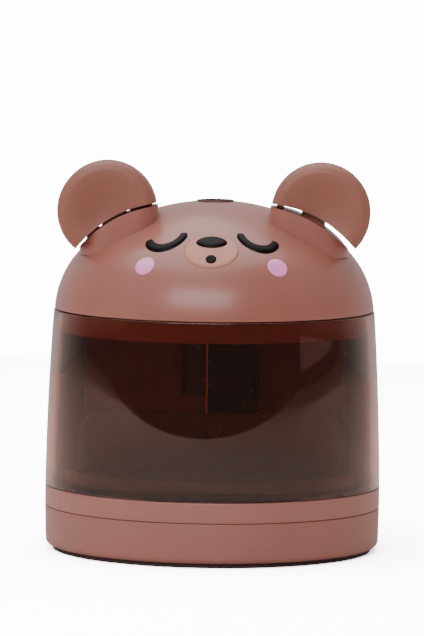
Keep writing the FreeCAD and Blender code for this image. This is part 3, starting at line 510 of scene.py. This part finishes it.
CORNER_X = RIM_RADIUS - DOME_CORNER * math.cos(math.radians(DOME_DRAFT))
CORNER_Z = RIM_HEIGHT - DOME_CORNER * math.sin(math.radians(DOME_DRAFT))
CROWN_HEIGHT = RIM_HEIGHT + DOME_RISE
CROWN_DROP = CROWN_HEIGHT - CORNER_Z
CROWN_RADIUS = ((CORNER_X ** 2 + CROWN_DROP ** 2 - DOME_CORNER ** 2)
                / (2 * (CROWN_DROP - DOME_CORNER)))
CROWN_CENTRE = CROWN_HEIGHT - CROWN_RADIUS
BLEND_ANGLE = math.degrees(math.atan2(CORNER_Z - CROWN_CENTRE, CORNER_X))


def dome_height(radius, offset=0.0):
    """Height of the dome's surface at a distance from the axis."""
    if radius < CORNER_X + (DOME_CORNER + offset) * math.cos(math.radians(BLEND_ANGLE)):
        return CROWN_CENTRE + math.sqrt((CROWN_RADIUS + offset) ** 2 - radius ** 2)
    return CORNER_Z + math.sqrt((DOME_CORNER + offset) ** 2 - (radius - CORNER_X) ** 2)


def side_radius(height):
    """Radius of the bellied side."""
    share = (height - SILL_HEIGHT) / (RIM_HEIGHT - SILL_HEIGHT)
    chord = math.hypot(RIM_HEIGHT - SILL_HEIGHT, BODY_RADIUS - SHOULDER_RADIUS)
    belly = chord ** 2 / (2 * SIDE_SWEEP) * share * (1 - share)
    return BODY_RADIUS - (BODY_RADIUS - SHOULDER_RADIUS) * share + belly


def side_loop(low, high, wall, edge=0.35, steps=16):
    """Closed section of a side wall between two heights."""
    outer = [(side_radius(low + (high - low) * k / steps), low + (high - low) * k / steps)
             for k in range(steps + 1)]
    inner = [(radius - wall, height) for radius, height in reversed(outer)]
    low_edge, high_edge = outer[0][0] - edge, outer[-1][0] - edge
    loop = [(low_edge, low)] + arc((low_edge, low + edge), edge, -90, 0, 4)[1:]
    loop += outer[2:-2]
    loop += arc((high_edge, high - edge), edge, 0, 90, 4)
    return loop + inner


print("crown radius", round(CROWN_RADIUS, 2), "blend at", round(BLEND_ANGLE, 1), "degrees")

# %% [markdown]
# ## Base, sill and rear wall
#
# The lower case is two bands with a fine parting line between them, and a dark rubber ring under
# the base; the ring's dark tone is partly the rubber's own and partly painted shade for the gap
# under the base. The upper band's slightly lighter tone and the lower band's slightly darker one
# are painted light and painted shade. The lower band is a tub, with an opening in its floor for the
# battery door and a sunk bore for each screw. The upper band is a sill at the front and carries on
# as the rear wall. Its deck and screw posts stand inside it, and all of them are one piece, as on
# the real moulding.

# %% Lower case
EDGE_ROUND, BASE_INSET, FLOOR_TOP = 1.4, 0.2, 3.55
SEAM_EDGE, SILL_EDGE, WALL_START = 0.25, 0.3, 0.4
DECK_TOP, DECK_PLATE, DECK_BACK = 16.08, 1.8, 17.2
POST_RADIUS, POST_BELOW_DECK, POST_BORE = 2.6, 0.9, 8
SCREW_RADIUS, SCREW_HEAD, SCREW_GAP, SCREW_SINK = 1.25, 2.3, 0.1, 1.7
SCREW_PLACES = [(-27, -22), (27, -22), (-33, 6), (33, 6)]
BORE_LOW, DOOR_CUT_LOW, CUT_SPARE = 0.4, 0.5, 1
DOOR_HALF, DOOR_FRONT, DOOR_ARC = 25.95, 17.8, 38.1
FOOT_WIDTH, FOOT_ROUND = 1.5, 0.25

inner_wall = BODY_RADIUS - SHELL_WALL
base_top = BASE_HEIGHT - SEAM / 2
base_loop = ([(0, FOOT_HEIGHT)]
             + arc((BODY_RADIUS - BASE_INSET - EDGE_ROUND, FOOT_HEIGHT + EDGE_ROUND),
                   EDGE_ROUND, -90, 0, 10)
             + arc((BODY_RADIUS - SEAM_EDGE, base_top - SEAM_EDGE), SEAM_EDGE, 0, 90, 4)
             + [(inner_wall, base_top), (inner_wall, FLOOR_TOP), (0, FLOOR_TOP)])
# The base tub's slightly darker tone is painted shade for the lower band.
base = new_piece("base_tub", turn(base_loop), base_plastic_painted_shade)
door_corner = math.degrees(math.acos(DOOR_HALF / DOOR_ARC))
door_outline = ([(-DOOR_HALF - SEAM, DOOR_FRONT - SEAM), (DOOR_HALF + SEAM, DOOR_FRONT - SEAM)]
                + arc((0, 0), DOOR_ARC + SEAM, door_corner, 180 - door_corner, 24))
carve(base, extruded(door_outline, DOOR_CUT_LOW, FLOOR_TOP + CUT_SPARE))
for place in SCREW_PLACES:
    carve(base, extruded(circle(place, SCREW_RADIUS + SCREW_GAP), BORE_LOW, FLOOR_TOP + CUT_SPARE))
    carve(base, extruded(circle(place, SCREW_HEAD + SCREW_GAP), BORE_LOW,
                         FOOT_HEIGHT + SCREW_SINK))
soften(base, 32)

# The ring's dark finish is partly painted shade for the gap under the base.
foot_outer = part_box("foot_ring")[1].x / MM
foot_inner = foot_outer - FOOT_WIDTH
foot_loop = rounded([(foot_inner, 0), (foot_outer, 0), (foot_outer, FOOT_HEIGHT),
                     (foot_inner, FOOT_HEIGHT)], FOOT_ROUND)
foot = new_piece("foot_ring_rubber", turn(foot_loop), rubber_and_gap_shade)

# %% Sill, rear wall and deck
sill_low = BASE_HEIGHT + SEAM / 2
sill_top = [(inner_wall, SILL_HEIGHT)]
sill_start = ([(inner_wall, sill_low)]
              + arc((BODY_RADIUS - SEAM_EDGE, sill_low + SEAM_EDGE), SEAM_EDGE, -90, 0, 4))
sill_loop = (sill_start
             + arc((BODY_RADIUS - SILL_EDGE, SILL_HEIGHT - SILL_EDGE), SILL_EDGE, 0, 90, 4)
             + sill_top)
rear_side = side_loop(SILL_HEIGHT, RIM_HEIGHT - SEAM / 2, SHELL_WALL)
rear_loop = (sill_start + [point for point in rear_side if point[1] > SILL_HEIGHT + WALL_START]
             + sill_top)
edge_angle = math.degrees(math.asin((WINDOW_EDGE + SEAM) / SHOULDER_RADIUS))
# The wall, sill and deck take the sill's finish, whose lighter tone is painted light on the upper
# band.
body = new_piece("case_wall", turn(rear_loop, 96, 90 + edge_angle, 180 - 2 * edge_angle),
                 sill_plastic)
join(body, new_piece("front_sill", turn(sill_loop, 112, -90 - edge_angle, 180 + 2 * edge_angle),
                     sill_plastic))
deck_edge = BODY_RADIUS - SHELL_WALL / 2
deck_angle = math.degrees(math.asin(DECK_BACK / deck_edge))
deck_outline = arc((0, 0), deck_edge, 180 - deck_angle, 360 + deck_angle, 72)
deck = new_piece("deck", extruded(deck_outline, DECK_TOP - DECK_PLATE, DECK_TOP), sill_plastic)
for place in SCREW_PLACES:
    post = circle(place, POST_RADIUS, 32)
    carve(deck, extruded(post, FLOOR_TOP, DECK_TOP - POST_BELOW_DECK), "UNION")
    carve(deck, extruded(circle(place, SCREW_RADIUS), FLOOR_TOP - CUT_SPARE,
                         FLOOR_TOP + POST_BORE))
join(body, deck)
soften(body, 32)
print("lower case:", len(base.data.polygons) + len(body.data.polygons), "faces")

# %% [markdown]
# ## Smoked window
#
# The window is the curved front of the drawer: 1.8 mm thick and open at the back, with a small
# polished round along its top and foot.

# %% Window
WINDOW_ROUND = 0.3
window_loop = side_loop(SILL_HEIGHT + SEAM, RIM_HEIGHT - SEAM, WINDOW_WALL, WINDOW_ROUND)
window_angle = 90 + math.degrees(math.asin(WINDOW_EDGE / BODY_RADIUS))
window = new_piece("smoked_front", turn(window_loop, 120, -window_angle, 2 * window_angle),
                   smoked_window)
print("window:", len(window.data.polygons), "faces")

# %% [markdown]
# ## Head
#
# The dome is one turned shell with the pencil hole at its crown. Two blocks rise from it as seats
# for the ears. Their sides are upright and their tops follow the underside of the ears, so a
# boolean with a round bar cuts them. Slots in each seat take the tabs of its ear, and a small bevel
# softens every edge of the seat before it joins the dome.

# %% Head shell
GUIDE_HOLE, DOME_EDGE = 4.8, 0.3
SADDLE_X, SADDLE_HEIGHT, SADDLE_RADIUS = 10.2, 57.3, 30.0
SEAT_LOW, SEAT_HIGH, SEAT_BEVEL = 74.5, 89.0, 0.5
SLOT_LOW, SLOT_HIGH, SLOT_GAP = 76.0, 95.0, 0.1
BAR_FRONT, BAR_BACK = -24, 2
# Each corner of a seat in plan: its centre, radius, first angle and steps over a quarter turn.
SEAT_CORNERS = [((19.0, -13.2), 5.0, 180, 10), ((23.5, -8.2), 10.0, 270, 16),
                ((28.0, -8.2), 5.5, 0, 10), ((19.5, -8.2), 5.5, 90, 10)]
EAR_TABS = {-1: [(15.5, 20.8), (21.8, 27.8), (28.6, 31.5)], 1: [(15.6, 17.3), (21.8, 27.6)]}
EAR_FRONT, TAB_DEPTH = 17.4, (4.0, 8.0)


def dome_loop():
    wall = SHELL_WALL
    rim = RIM_HEIGHT + SEAM / 2
    low_angle = math.degrees(math.asin((rim + DOME_EDGE - CORNER_Z) / DOME_CORNER))
    outer = arc((CORNER_X, CORNER_Z), DOME_CORNER, low_angle, BLEND_ANGLE, 26)
    hole_angle = math.degrees(math.acos(GUIDE_HOLE / CROWN_RADIUS))
    crown = arc((0, CROWN_CENTRE), CROWN_RADIUS, BLEND_ANGLE, hole_angle, 16)[1:]
    inner_crown_hole = math.degrees(math.acos(GUIDE_HOLE / (CROWN_RADIUS - wall)))
    inner = arc((0, CROWN_CENTRE), CROWN_RADIUS - wall, inner_crown_hole, BLEND_ANGLE, 10)
    inner += arc((CORNER_X, CORNER_Z), DOME_CORNER - wall, BLEND_ANGLE, low_angle, 14)[1:]
    edge = outer[0][0] - DOME_EDGE
    foot = [(inner[-1][0], rim), (edge, rim)]
    foot += arc((edge, rim + DOME_EDGE), DOME_EDGE, -90, 0, 4)[1:-1]
    return foot + outer + crown + inner


def seat_outline(side):
    points = []
    for centre, radius, first, steps in SEAT_CORNERS:
        points += arc(centre, radius, first, first + 90, steps)
    return [(side * x, y) for x, y in points]


def tab_outline(side, span, grow=0.0):
    """Plan of an ear's tab between two distances from the axis; grown, it is the tab's slot."""
    near, far = span
    left, right = sorted((side * (near - grow), side * (far + grow)))
    front, back = -EAR_FRONT + TAB_DEPTH[0] - grow, -EAR_FRONT + TAB_DEPTH[1] + grow
    return [(left, front), (right, front), (right, back), (left, back)]


def bar_along_y(centre_x, centre_z, radius, steps=160):
    """A mesh maker for the round bar that shapes the seats and the undersides of the ears."""
    def make(build):
        section = [(centre_x + radius * math.cos(2 * math.pi * k / steps),
                    centre_z + radius * math.sin(2 * math.pi * k / steps)) for k in range(steps)]
        rings = [[build.verts.new((x * MM, y * MM, z * MM)) for x, z in section]
                 for y in (BAR_FRONT, BAR_BACK)]
        build.faces.new(rings[0])
        build.faces.new(list(reversed(rings[1])))
        for k in range(steps):
            after = (k + 1) % steps
            build.faces.new([rings[0][k], rings[1][k], rings[1][after], rings[0][after]])
    return make


def make_seat(side):
    """An ear's seat: an upright block, cut by the curve of the ear's underside, with slots."""
    block = new_piece("seat_block", extruded(seat_outline(side), SEAT_LOW, SEAT_HIGH), case_plastic)
    carve(block, bar_along_y(side * SADDLE_X, SADDLE_HEIGHT, SADDLE_RADIUS), "INTERSECT")
    for span in EAR_TABS[side]:
        carve(block, extruded(tab_outline(side, span, SLOT_GAP), SLOT_LOW, SLOT_HIGH))
    bevel_edges(block, SEAT_BEVEL * MM, 40, 4)
    return block


head = new_piece("head_dome", turn(dome_loop(), 192), case_plastic)
seats = [make_seat(side) for side in (-1, 1)]
for seat in seats:
    combine(head, seat, "UNION")
soften(head, 32)
print("head:", len(head.data.polygons), "faces")

# %% [markdown]
# ## Ears
#
# An ear is a thick disc turned about its own axis, which points to the front. Its front is a
# shallow dish inside a soft rim. The round bar that shaped the seat also cuts the ear's underside,
# a little further out, which leaves the dark gap with its tabs. The ears aren't quite alike: each
# has its own gap and lean, and under the right ear the gap opens outwards.

# %% Ears
EAR_RADIUS, EAR_OFFSET, EAR_HEIGHT = 12.35, 26.5, 85.65
EAR_DEPTH, EAR_RIM, EAR_DISH, EAR_BACK_ROUND = 11.4, 2.4, 2.2, 3.0
EAR_GAP, EAR_LEAN = {-1: 0.84, 1: 0.77}, {-1: -0.5, 1: 1.3}
TAB_REACH, TAB_ROOT, EAR_BEVEL = 9.0, 3.6, 0.3


def ear_section():
    """Radius and depth behind the front plane, from the dish's middle to the back's middle."""
    dish_half, count = EAR_RADIUS - EAR_RIM, 20
    section = [(dish_half * step / count, EAR_DISH * (1 - (step / count) ** 2) ** 2)
               for step in range(count)]
    section += [(dish_half + EAR_RIM * math.sin(math.radians(angle)),
                 EAR_RIM - EAR_RIM * math.cos(math.radians(angle))) for angle in range(0, 91, 6)]
    section += [(EAR_RADIUS - EAR_BACK_ROUND + EAR_BACK_ROUND * math.cos(math.radians(angle)),
                 EAR_DEPTH - EAR_BACK_ROUND + EAR_BACK_ROUND * math.sin(math.radians(angle)))
                for angle in range(0, 91, 9)]
    section.append((0.0, EAR_DEPTH))
    return section


def turned_ear(side, steps=128):
    def make(build):
        section = ear_section()
        rings = []
        for step in range(steps):
            angle = 2 * math.pi * step / steps
            rings.append([build.verts.new(((side * EAR_OFFSET + radius * math.cos(angle)) * MM,
                                           (depth - EAR_FRONT) * MM,
                                           (EAR_HEIGHT + radius * math.sin(angle)) * MM))
                          for radius, depth in section])
        for step in range(steps):
            one, other = rings[step], rings[(step + 1) % steps]
            for index in range(len(section) - 1):
                build.faces.new([one[index], other[index], other[index + 1], one[index + 1]])
    return make


def make_ear(name, side):
    ear = new_piece(name, turned_ear(side), ear_plastic)
    carve(ear, bar_along_y(side * (SADDLE_X + EAR_LEAN[side]), SADDLE_HEIGHT,
                           SADDLE_RADIUS + EAR_GAP[side]))
    for span in EAR_TABS[side]:
        carve(ear, extruded(tab_outline(side, span), EAR_HEIGHT - TAB_REACH,
                            EAR_HEIGHT + TAB_ROOT), "UNION")
    bevel_edges(ear, EAR_BEVEL * MM, 40)
    soften(ear, 35)
    return ear


ears = [make_ear("left_ear", -1), make_ear("right_ear", 1)]
print("ears:", [len(ear.data.polygons) for ear in ears], "faces")

# %% [markdown]
# ## Face
#
# Nose, mouth, eyes, cheeks and snout are thin coloured inlays that follow the dome. Each is a small
# grid of rings drawn in the plane that touches the dome at its middle, dropped onto the dome and
# raised by its own thickness, with a rounded rim. Eyes are strokes along an arc seen from above.
# The nose is a little flatter than the CAD model's.

# %% Face
SKIN_DEPTH, BACKING = 0.15, 0.25
BEAD_INSET, BEAD_SPREAD = 0.55, 0.03
EYE_X, EYE_Y, EYE_CURVE, EYE_HALF = 11.2, -24.3, 4.4, 1.05
EYE_FIRST, EYE_LAST, EYE_RAISE = 200, 345, 1.2


def touch_frame(radius, azimuth):
    """Point on the dome and the across, up and outward directions there, in millimetres."""
    reach = radius - CORNER_X
    lift = math.sqrt(DOME_CORNER ** 2 - reach ** 2)
    turned = Matrix.Rotation(math.radians(azimuth), 3, "Z")
    out = (turned @ Vector((0, -reach, lift))).normalized()
    across = turned @ Vector((1, 0, 0))
    spot = turned @ Vector((0, -radius, 0))
    spot.z = CORNER_Z + lift
    return spot, across, out.cross(across), out


def on_dome(point, out):
    """Slides a point along a direction until it lies on the dome."""
    for _ in range(12):
        radius = math.hypot(point.x, point.y)
        centre = Vector((point.x / radius * CORNER_X, point.y / radius * CORNER_X, CORNER_Z))
        if radius > CORNER_X + DOME_CORNER * math.cos(math.radians(BLEND_ANGLE)):
            miss = (point - centre).length - DOME_CORNER
        else:
            miss = (point - Vector((0, 0, CROWN_CENTRE))).length - CROWN_RADIUS
        point = point - out * miss / max(out.dot((point - centre).normalized()), 0.3)
    return point


def patch(radius, azimuth, half_width, half_height, thickness, bead=0.0, rings=14, steps=72):
    """A mesh maker for an oval inlay; bead raises a fine line just inside its rim."""
    spot, across, up, out = touch_frame(radius, azimuth)

    def make(build):
        middle = build.verts.new((on_dome(spot, out) + out * thickness) * MM)
        last = None
        for ring in range(1, rings + 1):
            share = math.sin(math.pi / 2 * ring / rings) if ring < rings else 1.0
            edge = max(0.0, 1 - ((1 - share) * min(half_width, half_height) / thickness)) ** 2
            lift = thickness * math.sqrt(max(0.0, 1 - edge))
            lift += bead * math.exp(-((1 - share) * half_width - BEAD_INSET) ** 2 / BEAD_SPREAD)
            loop = []
            for step in range(steps):
                angle = 2 * math.pi * step / steps
                flat = (spot + across * half_width * share * math.cos(angle)
                        + up * half_height * share * math.sin(angle))
                loop.append(build.verts.new((on_dome(flat, out) + out * lift) * MM))
            join_rings(build, last, loop, middle)
            last = loop
        buried = [build.verts.new(vertex.co - out * SKIN_DEPTH * MM) for vertex in last]
        join_rings(build, last, buried, middle)
    return make


def join_rings(build, last, loop, middle):
    count = len(loop)
    for step in range(count):
        after = (step + 1) % count
        if last is None:
            build.faces.new([middle, loop[step], loop[after]])
        else:
            build.faces.new([last[step], loop[step], loop[after], last[after]])


def stroke(side, thickness=0.7, steps=48, across=12):
    """A closed eyelid: a stroke along an arc in plan, with round ends."""
    centre = Vector((side * EYE_X, EYE_Y, 0))
    first, last = math.radians(EYE_FIRST), math.radians(EYE_LAST)

    def make(build):
        grid = []
        overrun = EYE_HALF / EYE_CURVE
        for step in range(steps + 1):
            along = first - overrun + (last - first + 2 * overrun) * step / steps
            beyond = max(first - along, along - last, 0) / overrun
            width = EYE_HALF * math.sqrt(max(0.0, 1 - beyond ** 2))
            row = []
            for lane in range(across + 1):
                share = 2 * lane / across - 1
                reach = EYE_CURVE + width * share
                x = centre.x + side * reach * math.cos(along)
                y = centre.y + reach * math.sin(along)
                level = dome_height(math.hypot(x, y))
                crown = math.sqrt(max(0.0, 1 - max(abs(share), beyond) ** 4))
                rise = thickness * crown * (width / EYE_HALF) ** 0.5
                row.append(build.verts.new((x * MM, y * MM,
                                            (level - SKIN_DEPTH + rise * EYE_RAISE) * MM)))
            grid.append(row)
        for step in range(steps):
            for lane in range(across):
                build.faces.new([grid[step][lane], grid[step + 1][lane],
                                 grid[step + 1][lane + 1], grid[step][lane + 1]])
    return make


def close_underneath(piece):
    """Gives a thin open patch a back, so that it is a closed piece."""
    modifier = piece.modifiers.new("back", "SOLIDIFY")
    modifier.thickness = BACKING * MM
    modifier.offset = -1
    bake_modifiers(piece)
    soften(piece, 50)


# A patch is given by its distance from the axis, azimuth, half width, half height and thickness.
face = {
    "snout": ("snout_plate", patch(31.2, 0, 6.6, 5.75, 0.35, 0.04), snout_plastic),
    "nose_button": ("nose", patch(29.0, 0, 3.95, 2.3, 0.9), black_gloss),
    "mouth_dot": ("mouth", patch(33.6, 0, 1.45, 1.5, 0.55), black_gloss),
    "left_cheek": ("cheek_left", patch(35.2, -27.5, 2.6, 2.6, 0.35), pink_gloss),
    "right_cheek": ("cheek_right", patch(35.2, 27.5, 2.6, 2.6, 0.35), pink_gloss),
    "left_eyelid": ("eye_left", stroke(-1), black_gloss),
    "right_eyelid": ("eye_right", stroke(1), black_gloss),
}
face_pieces = {}
for name, (node, maker, finish) in face.items():
    made = new_piece(name, maker, finish, 60)
    if sum(polygon.normal.z * polygon.area for polygon in made.data.polygons) < 0:
        made.data.flip_normals()
    close_underneath(made)
    face_pieces[name] = (made, node)
print("face:", list(face_pieces))

# %% [markdown]
# ## Pencil guide
#
# The dark collar at the crown is a tube with a softly rounded mouth. Its flange, hidden inside the
# head, sits on the gear cover.

# %% Pencil guide
guide_low, guide_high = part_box("pencil_guide")
guide_bottom, guide_top = guide_low.z / MM, guide_high.z / MM
FLANGE_RADIUS, FLANGE_WALL = 7.6, 1.5
flange_top = guide_bottom + FLANGE_WALL
lip = (GUIDE_OUTER - BORE_RADIUS) / 2
guide_loop = ([(BORE_RADIUS, guide_bottom), (FLANGE_RADIUS, guide_bottom),
               (FLANGE_RADIUS, flange_top), (GUIDE_OUTER, flange_top)]
              + arc((GUIDE_OUTER - lip, guide_top - lip), lip, 0, 180, 10))
collar = new_piece("pencil_collar", turn(guide_loop, 96), collar_plastic)
print("collar stands", round(guide_top - dome_height(GUIDE_OUTER), 2), "mm proud")

# %% [markdown]
# ## Ribs and screws by Geometry Nodes
#
# The battery door has a row of grip ribs, and four screws hold the base. Both repeat one small
# shape, so each is a Geometry Nodes tree with named inputs: a bar is set on each point of a row,
# and a screw head on each point of a small cloud. Real geometry, then one plain mesh per body.

# %% Repeating pieces
CROSS_LENGTH, CROSS_SINK = 0.0028, -0.0007
RIB_LENGTH, RIB_WIDTH, RIB_PITCH, RIB_RISE = 14.0, 0.8, 1.7, 0.5
RIB_COUNT, RIB_START, RIB_SINK = 5, 5.0, 0.15
SCREW_HEAD_LIFT = 0.75


class GeometryTree:
    """Builds a node tree with named inputs and one geometry output."""

    def __init__(self, name, inputs):
        self.tree = bpy.data.node_groups.new(name, "GeometryNodeTree")
        self.sockets = {}
        self.socket("Geometry", "INPUT", "NodeSocketGeometry")
        for label, value in inputs.items():
            self.sockets[label] = self.socket(label, "INPUT", "NodeSocketFloat")
            self.sockets[label].default_value = value
        self.socket("Geometry", "OUTPUT", "NodeSocketGeometry")
        self.source = self.tree.nodes.new("NodeGroupInput")
        self.target = self.tree.nodes.new("NodeGroupOutput")

    def socket(self, label, side, kind):
        return self.tree.interface.new_socket(label, in_out=side, socket_type=kind)

    def value(self, label):
        return self.source.outputs[label]

    def add(self, kind, settings=None, values=None):
        node = self.tree.nodes.new(kind)
        for key, setting in (settings or {}).items():
            setattr(node, key, setting)
        for key, value in (values or {}).items():
            if isinstance(value, bpy.types.NodeSocket):
                self.tree.links.new(value, node.inputs[key])
            else:
                node.inputs[key].default_value = value
        return node.outputs[0]

    def finish(self, geometry, material):
        real = self.add("GeometryNodeRealizeInstances", {}, {"Geometry": geometry})
        painted = self.add("GeometryNodeSetMaterial", {}, {"Geometry": real, "Material": material})
        self.tree.links.new(painted, self.target.inputs[0])


def grow(name, vertices, geometry_tree, settings):
    """Runs a tree on a small cloud of points and keeps the result as a plain mesh."""
    mesh = bpy.data.meshes.new(name)
    mesh.from_pydata(vertices, [], [])
    piece = bpy.data.objects.new(name, mesh)
    scene.collection.objects.link(piece)
    modifier = piece.modifiers.new("grow", "NODES")
    modifier.node_group = geometry_tree.tree
    for label, value in settings.items():
        modifier[geometry_tree.sockets[label].identifier] = value
    bake_modifiers(piece)
    return piece


def rib_tree(material):
    """A plain bar on every point."""
    ribs = GeometryTree("grip_ribs", {"Length": 0.02, "Width": 0.001, "Rise": 0.0005})
    size = ribs.add("ShaderNodeCombineXYZ", {}, {
        "X": ribs.value("Length"), "Y": ribs.value("Width"), "Z": ribs.value("Rise")})
    bar = ribs.add("GeometryNodeMeshCube", {}, {"Size": size})
    set_on = ribs.add("GeometryNodeInstanceOnPoints", {}, {
        "Points": ribs.value("Geometry"), "Instance": bar})
    ribs.finish(set_on, material)
    return ribs


def screw_tree(material):
    """A pan head with a cross recess, cut from a low cone by two bars."""
    screws = GeometryTree("screw_heads", {"Radius": 0.0023, "Height": 0.0015, "Slot": 0.0006})
    cut_head = screws.add("GeometryNodeMeshCone", {"fill_type": "NGON"}, {
        "Vertices": 40, "Radius Bottom": screws.value("Radius"),
        "Radius Top": screws.value("Radius"), "Depth": screws.value("Height")})
    for along, across in (("X", "Y"), ("Y", "X")):
        size = screws.add("ShaderNodeCombineXYZ", {}, {
            along: CROSS_LENGTH, across: screws.value("Slot"), "Z": screws.value("Height")})
        bar = screws.add("GeometryNodeMeshCube", {}, {"Size": size})
        moved = screws.add("GeometryNodeTransform", {}, {
            "Geometry": bar, "Translation": (0, 0, CROSS_SINK)})
        cut_head = screws.add("GeometryNodeMeshBoolean", {"operation": "DIFFERENCE"}, {
            "Mesh 1": cut_head, "Mesh 2": moved})
    set_on = screws.add("GeometryNodeInstanceOnPoints", {}, {
        "Points": screws.value("Geometry"), "Instance": cut_head})
    screws.finish(set_on, material)
    return screws


door_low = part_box("battery_door")[0]
rib_points = [(0, door_low.y + (RIB_START + RIB_PITCH * index) * MM, door_low.z - RIB_SINK * MM)
              for index in range(RIB_COUNT)]
ribs = grow("door_ribs", rib_points, rib_tree(base_plastic_painted_shade),
            {"Length": RIB_LENGTH * MM, "Width": RIB_WIDTH * MM, "Rise": RIB_RISE * MM})

screw_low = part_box("base_screws")[0]
screw_points = [(x * MM, y * MM, screw_low.z + SCREW_HEAD_LIFT * MM) for x, y in SCREW_PLACES]
base_screw_heads = grow("base_screw_heads", screw_points, screw_tree(zinc), {})
for made in (ribs, base_screw_heads):
    soften(made, 30)
print("ribs and screws:", len(ribs.data.polygons), len(base_screw_heads.data.polygons), "faces")

# %% [markdown]
# ## The works inside
#
# Everything under the dome and behind the window keeps its CAD shape: gears, motor, cells, guard
# and chassis are hard parts whose shape is already right. They only need their finishes.

# %% Finishes for the CAD pieces
cad_finishes = {
    case_plastic: ("chassis", "bulkhead"),
    base_plastic_painted_shade: ("battery_door",),
    # The guard's finish carries a painted highlight along one edge.
    guard.material: ("cutter_guard",),
    black_plastic: ("start_switch", "interlock_switch"),
    collar_plastic: ("cutter_carrier",),
    acetal: ("gear_cover", "ring_gear", "idler_gear", "motor_pinion", "start_plunger",
             "interlock_button"),
    # The blade and its screw get the dark steel, painted shade for the guard's shadow.
    shade_darkened_steel: ("blade", "blade_screw"),
    steel: ("gear_pin", "motor_can", "motor_shaft", "contact_left", "contact_right",
            "contact_bridge", "contact_spring_left", "contact_spring_right"),
    zinc: ("base_screws", "chassis_screws", "head_screws", "cover_screws"),
    bronze: ("cutter_bush",),
    jacket.material: ("cell_left", "cell_right"),
    smoked_window: ("drawer_box",),
}
for material, names in cad_finishes.items():
    for name in names:
        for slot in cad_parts[name].material_slots:
            slot.material = material
print("CAD pieces finished:", sum(len(names) for names in cad_finishes.values()))

# %% [markdown]
# ## Bodies, slots and what each piece stands for
#
# Each new piece rides on the body of the node it stands for, so the drawer's window slides with its
# chip box. The pieces that only add to a node, such as ribs, replace nothing.

# %% Ride and replace
placed = [
    (head, "root", "head_shell", "cocoa_plastic"),
    (ears[0], "root", "ear_left", "ear_plastic"),
    (ears[1], "root", "ear_right", "ear_plastic"),
    (foot, "root", "foot_ring", "foot_rubber"),
    (collar, "root", "pencil_guide", "dark_brown"),
    (window, "drawer", "drawer_window", "smoked_window"),
    (body, "root", "body_shell", "sill_plastic"),
    (base, "root", "base_shell", "cocoa_plastic"),
    (ribs, "battery_door", None, "cocoa_plastic"),
    (base_screw_heads, "root", None, "zinc"),
]
face_slots = {"snout": "snout_tan", "left_cheek": "cheek_pink", "right_cheek": "cheek_pink"}
for name, (piece, node) in face_pieces.items():
    placed.append((piece, "root", node, face_slots.get(name, "face_black")))
for piece, body, node, slot in placed:
    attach(piece, body)
    if node:
        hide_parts(node)
print("placed", len(placed), "pieces")

# %% [markdown]
# ## The table
#
# The table is a plain pale sheet. It isn't part of the object. It is
# far brighter where it is seen directly than in what mirrors it or is lit by it, so it shows
# almost white, as in a bright studio, while the object mirrors a plain warm grey.

# %% Table top
TABLE_TONE, TABLE_SEEN = (0.74, 0.60, 0.55, 1), (11, 11, 11, 1)
TABLE_CORNERS = [(-TABLE_HALF, TABLE_FRONT + TABLE_SLANT * TABLE_HALF, 0),
                 (TABLE_HALF, TABLE_FRONT - TABLE_SLANT * TABLE_HALF, 0),
                 (TABLE_HALF, TABLE_BACK, 0), (-TABLE_HALF, TABLE_BACK, 0)]
table_finish = Finish("table_white")
direct = table_finish.node("ShaderNodeLightPath", out="Is Camera Ray")
table_finish.set(Base_Color=table_finish.blend(direct, TABLE_TONE, TABLE_SEEN), Roughness=0.9)
table_mesh = bpy.data.meshes.new("table")
table_mesh.from_pydata(TABLE_CORNERS, [], [(0, 1, 2, 3)])
table_mesh.materials.append(table_finish.material)
table = bpy.data.objects.new("table", table_mesh)
scene.collection.objects.link(table)
print("table front edge at", TABLE_FRONT)
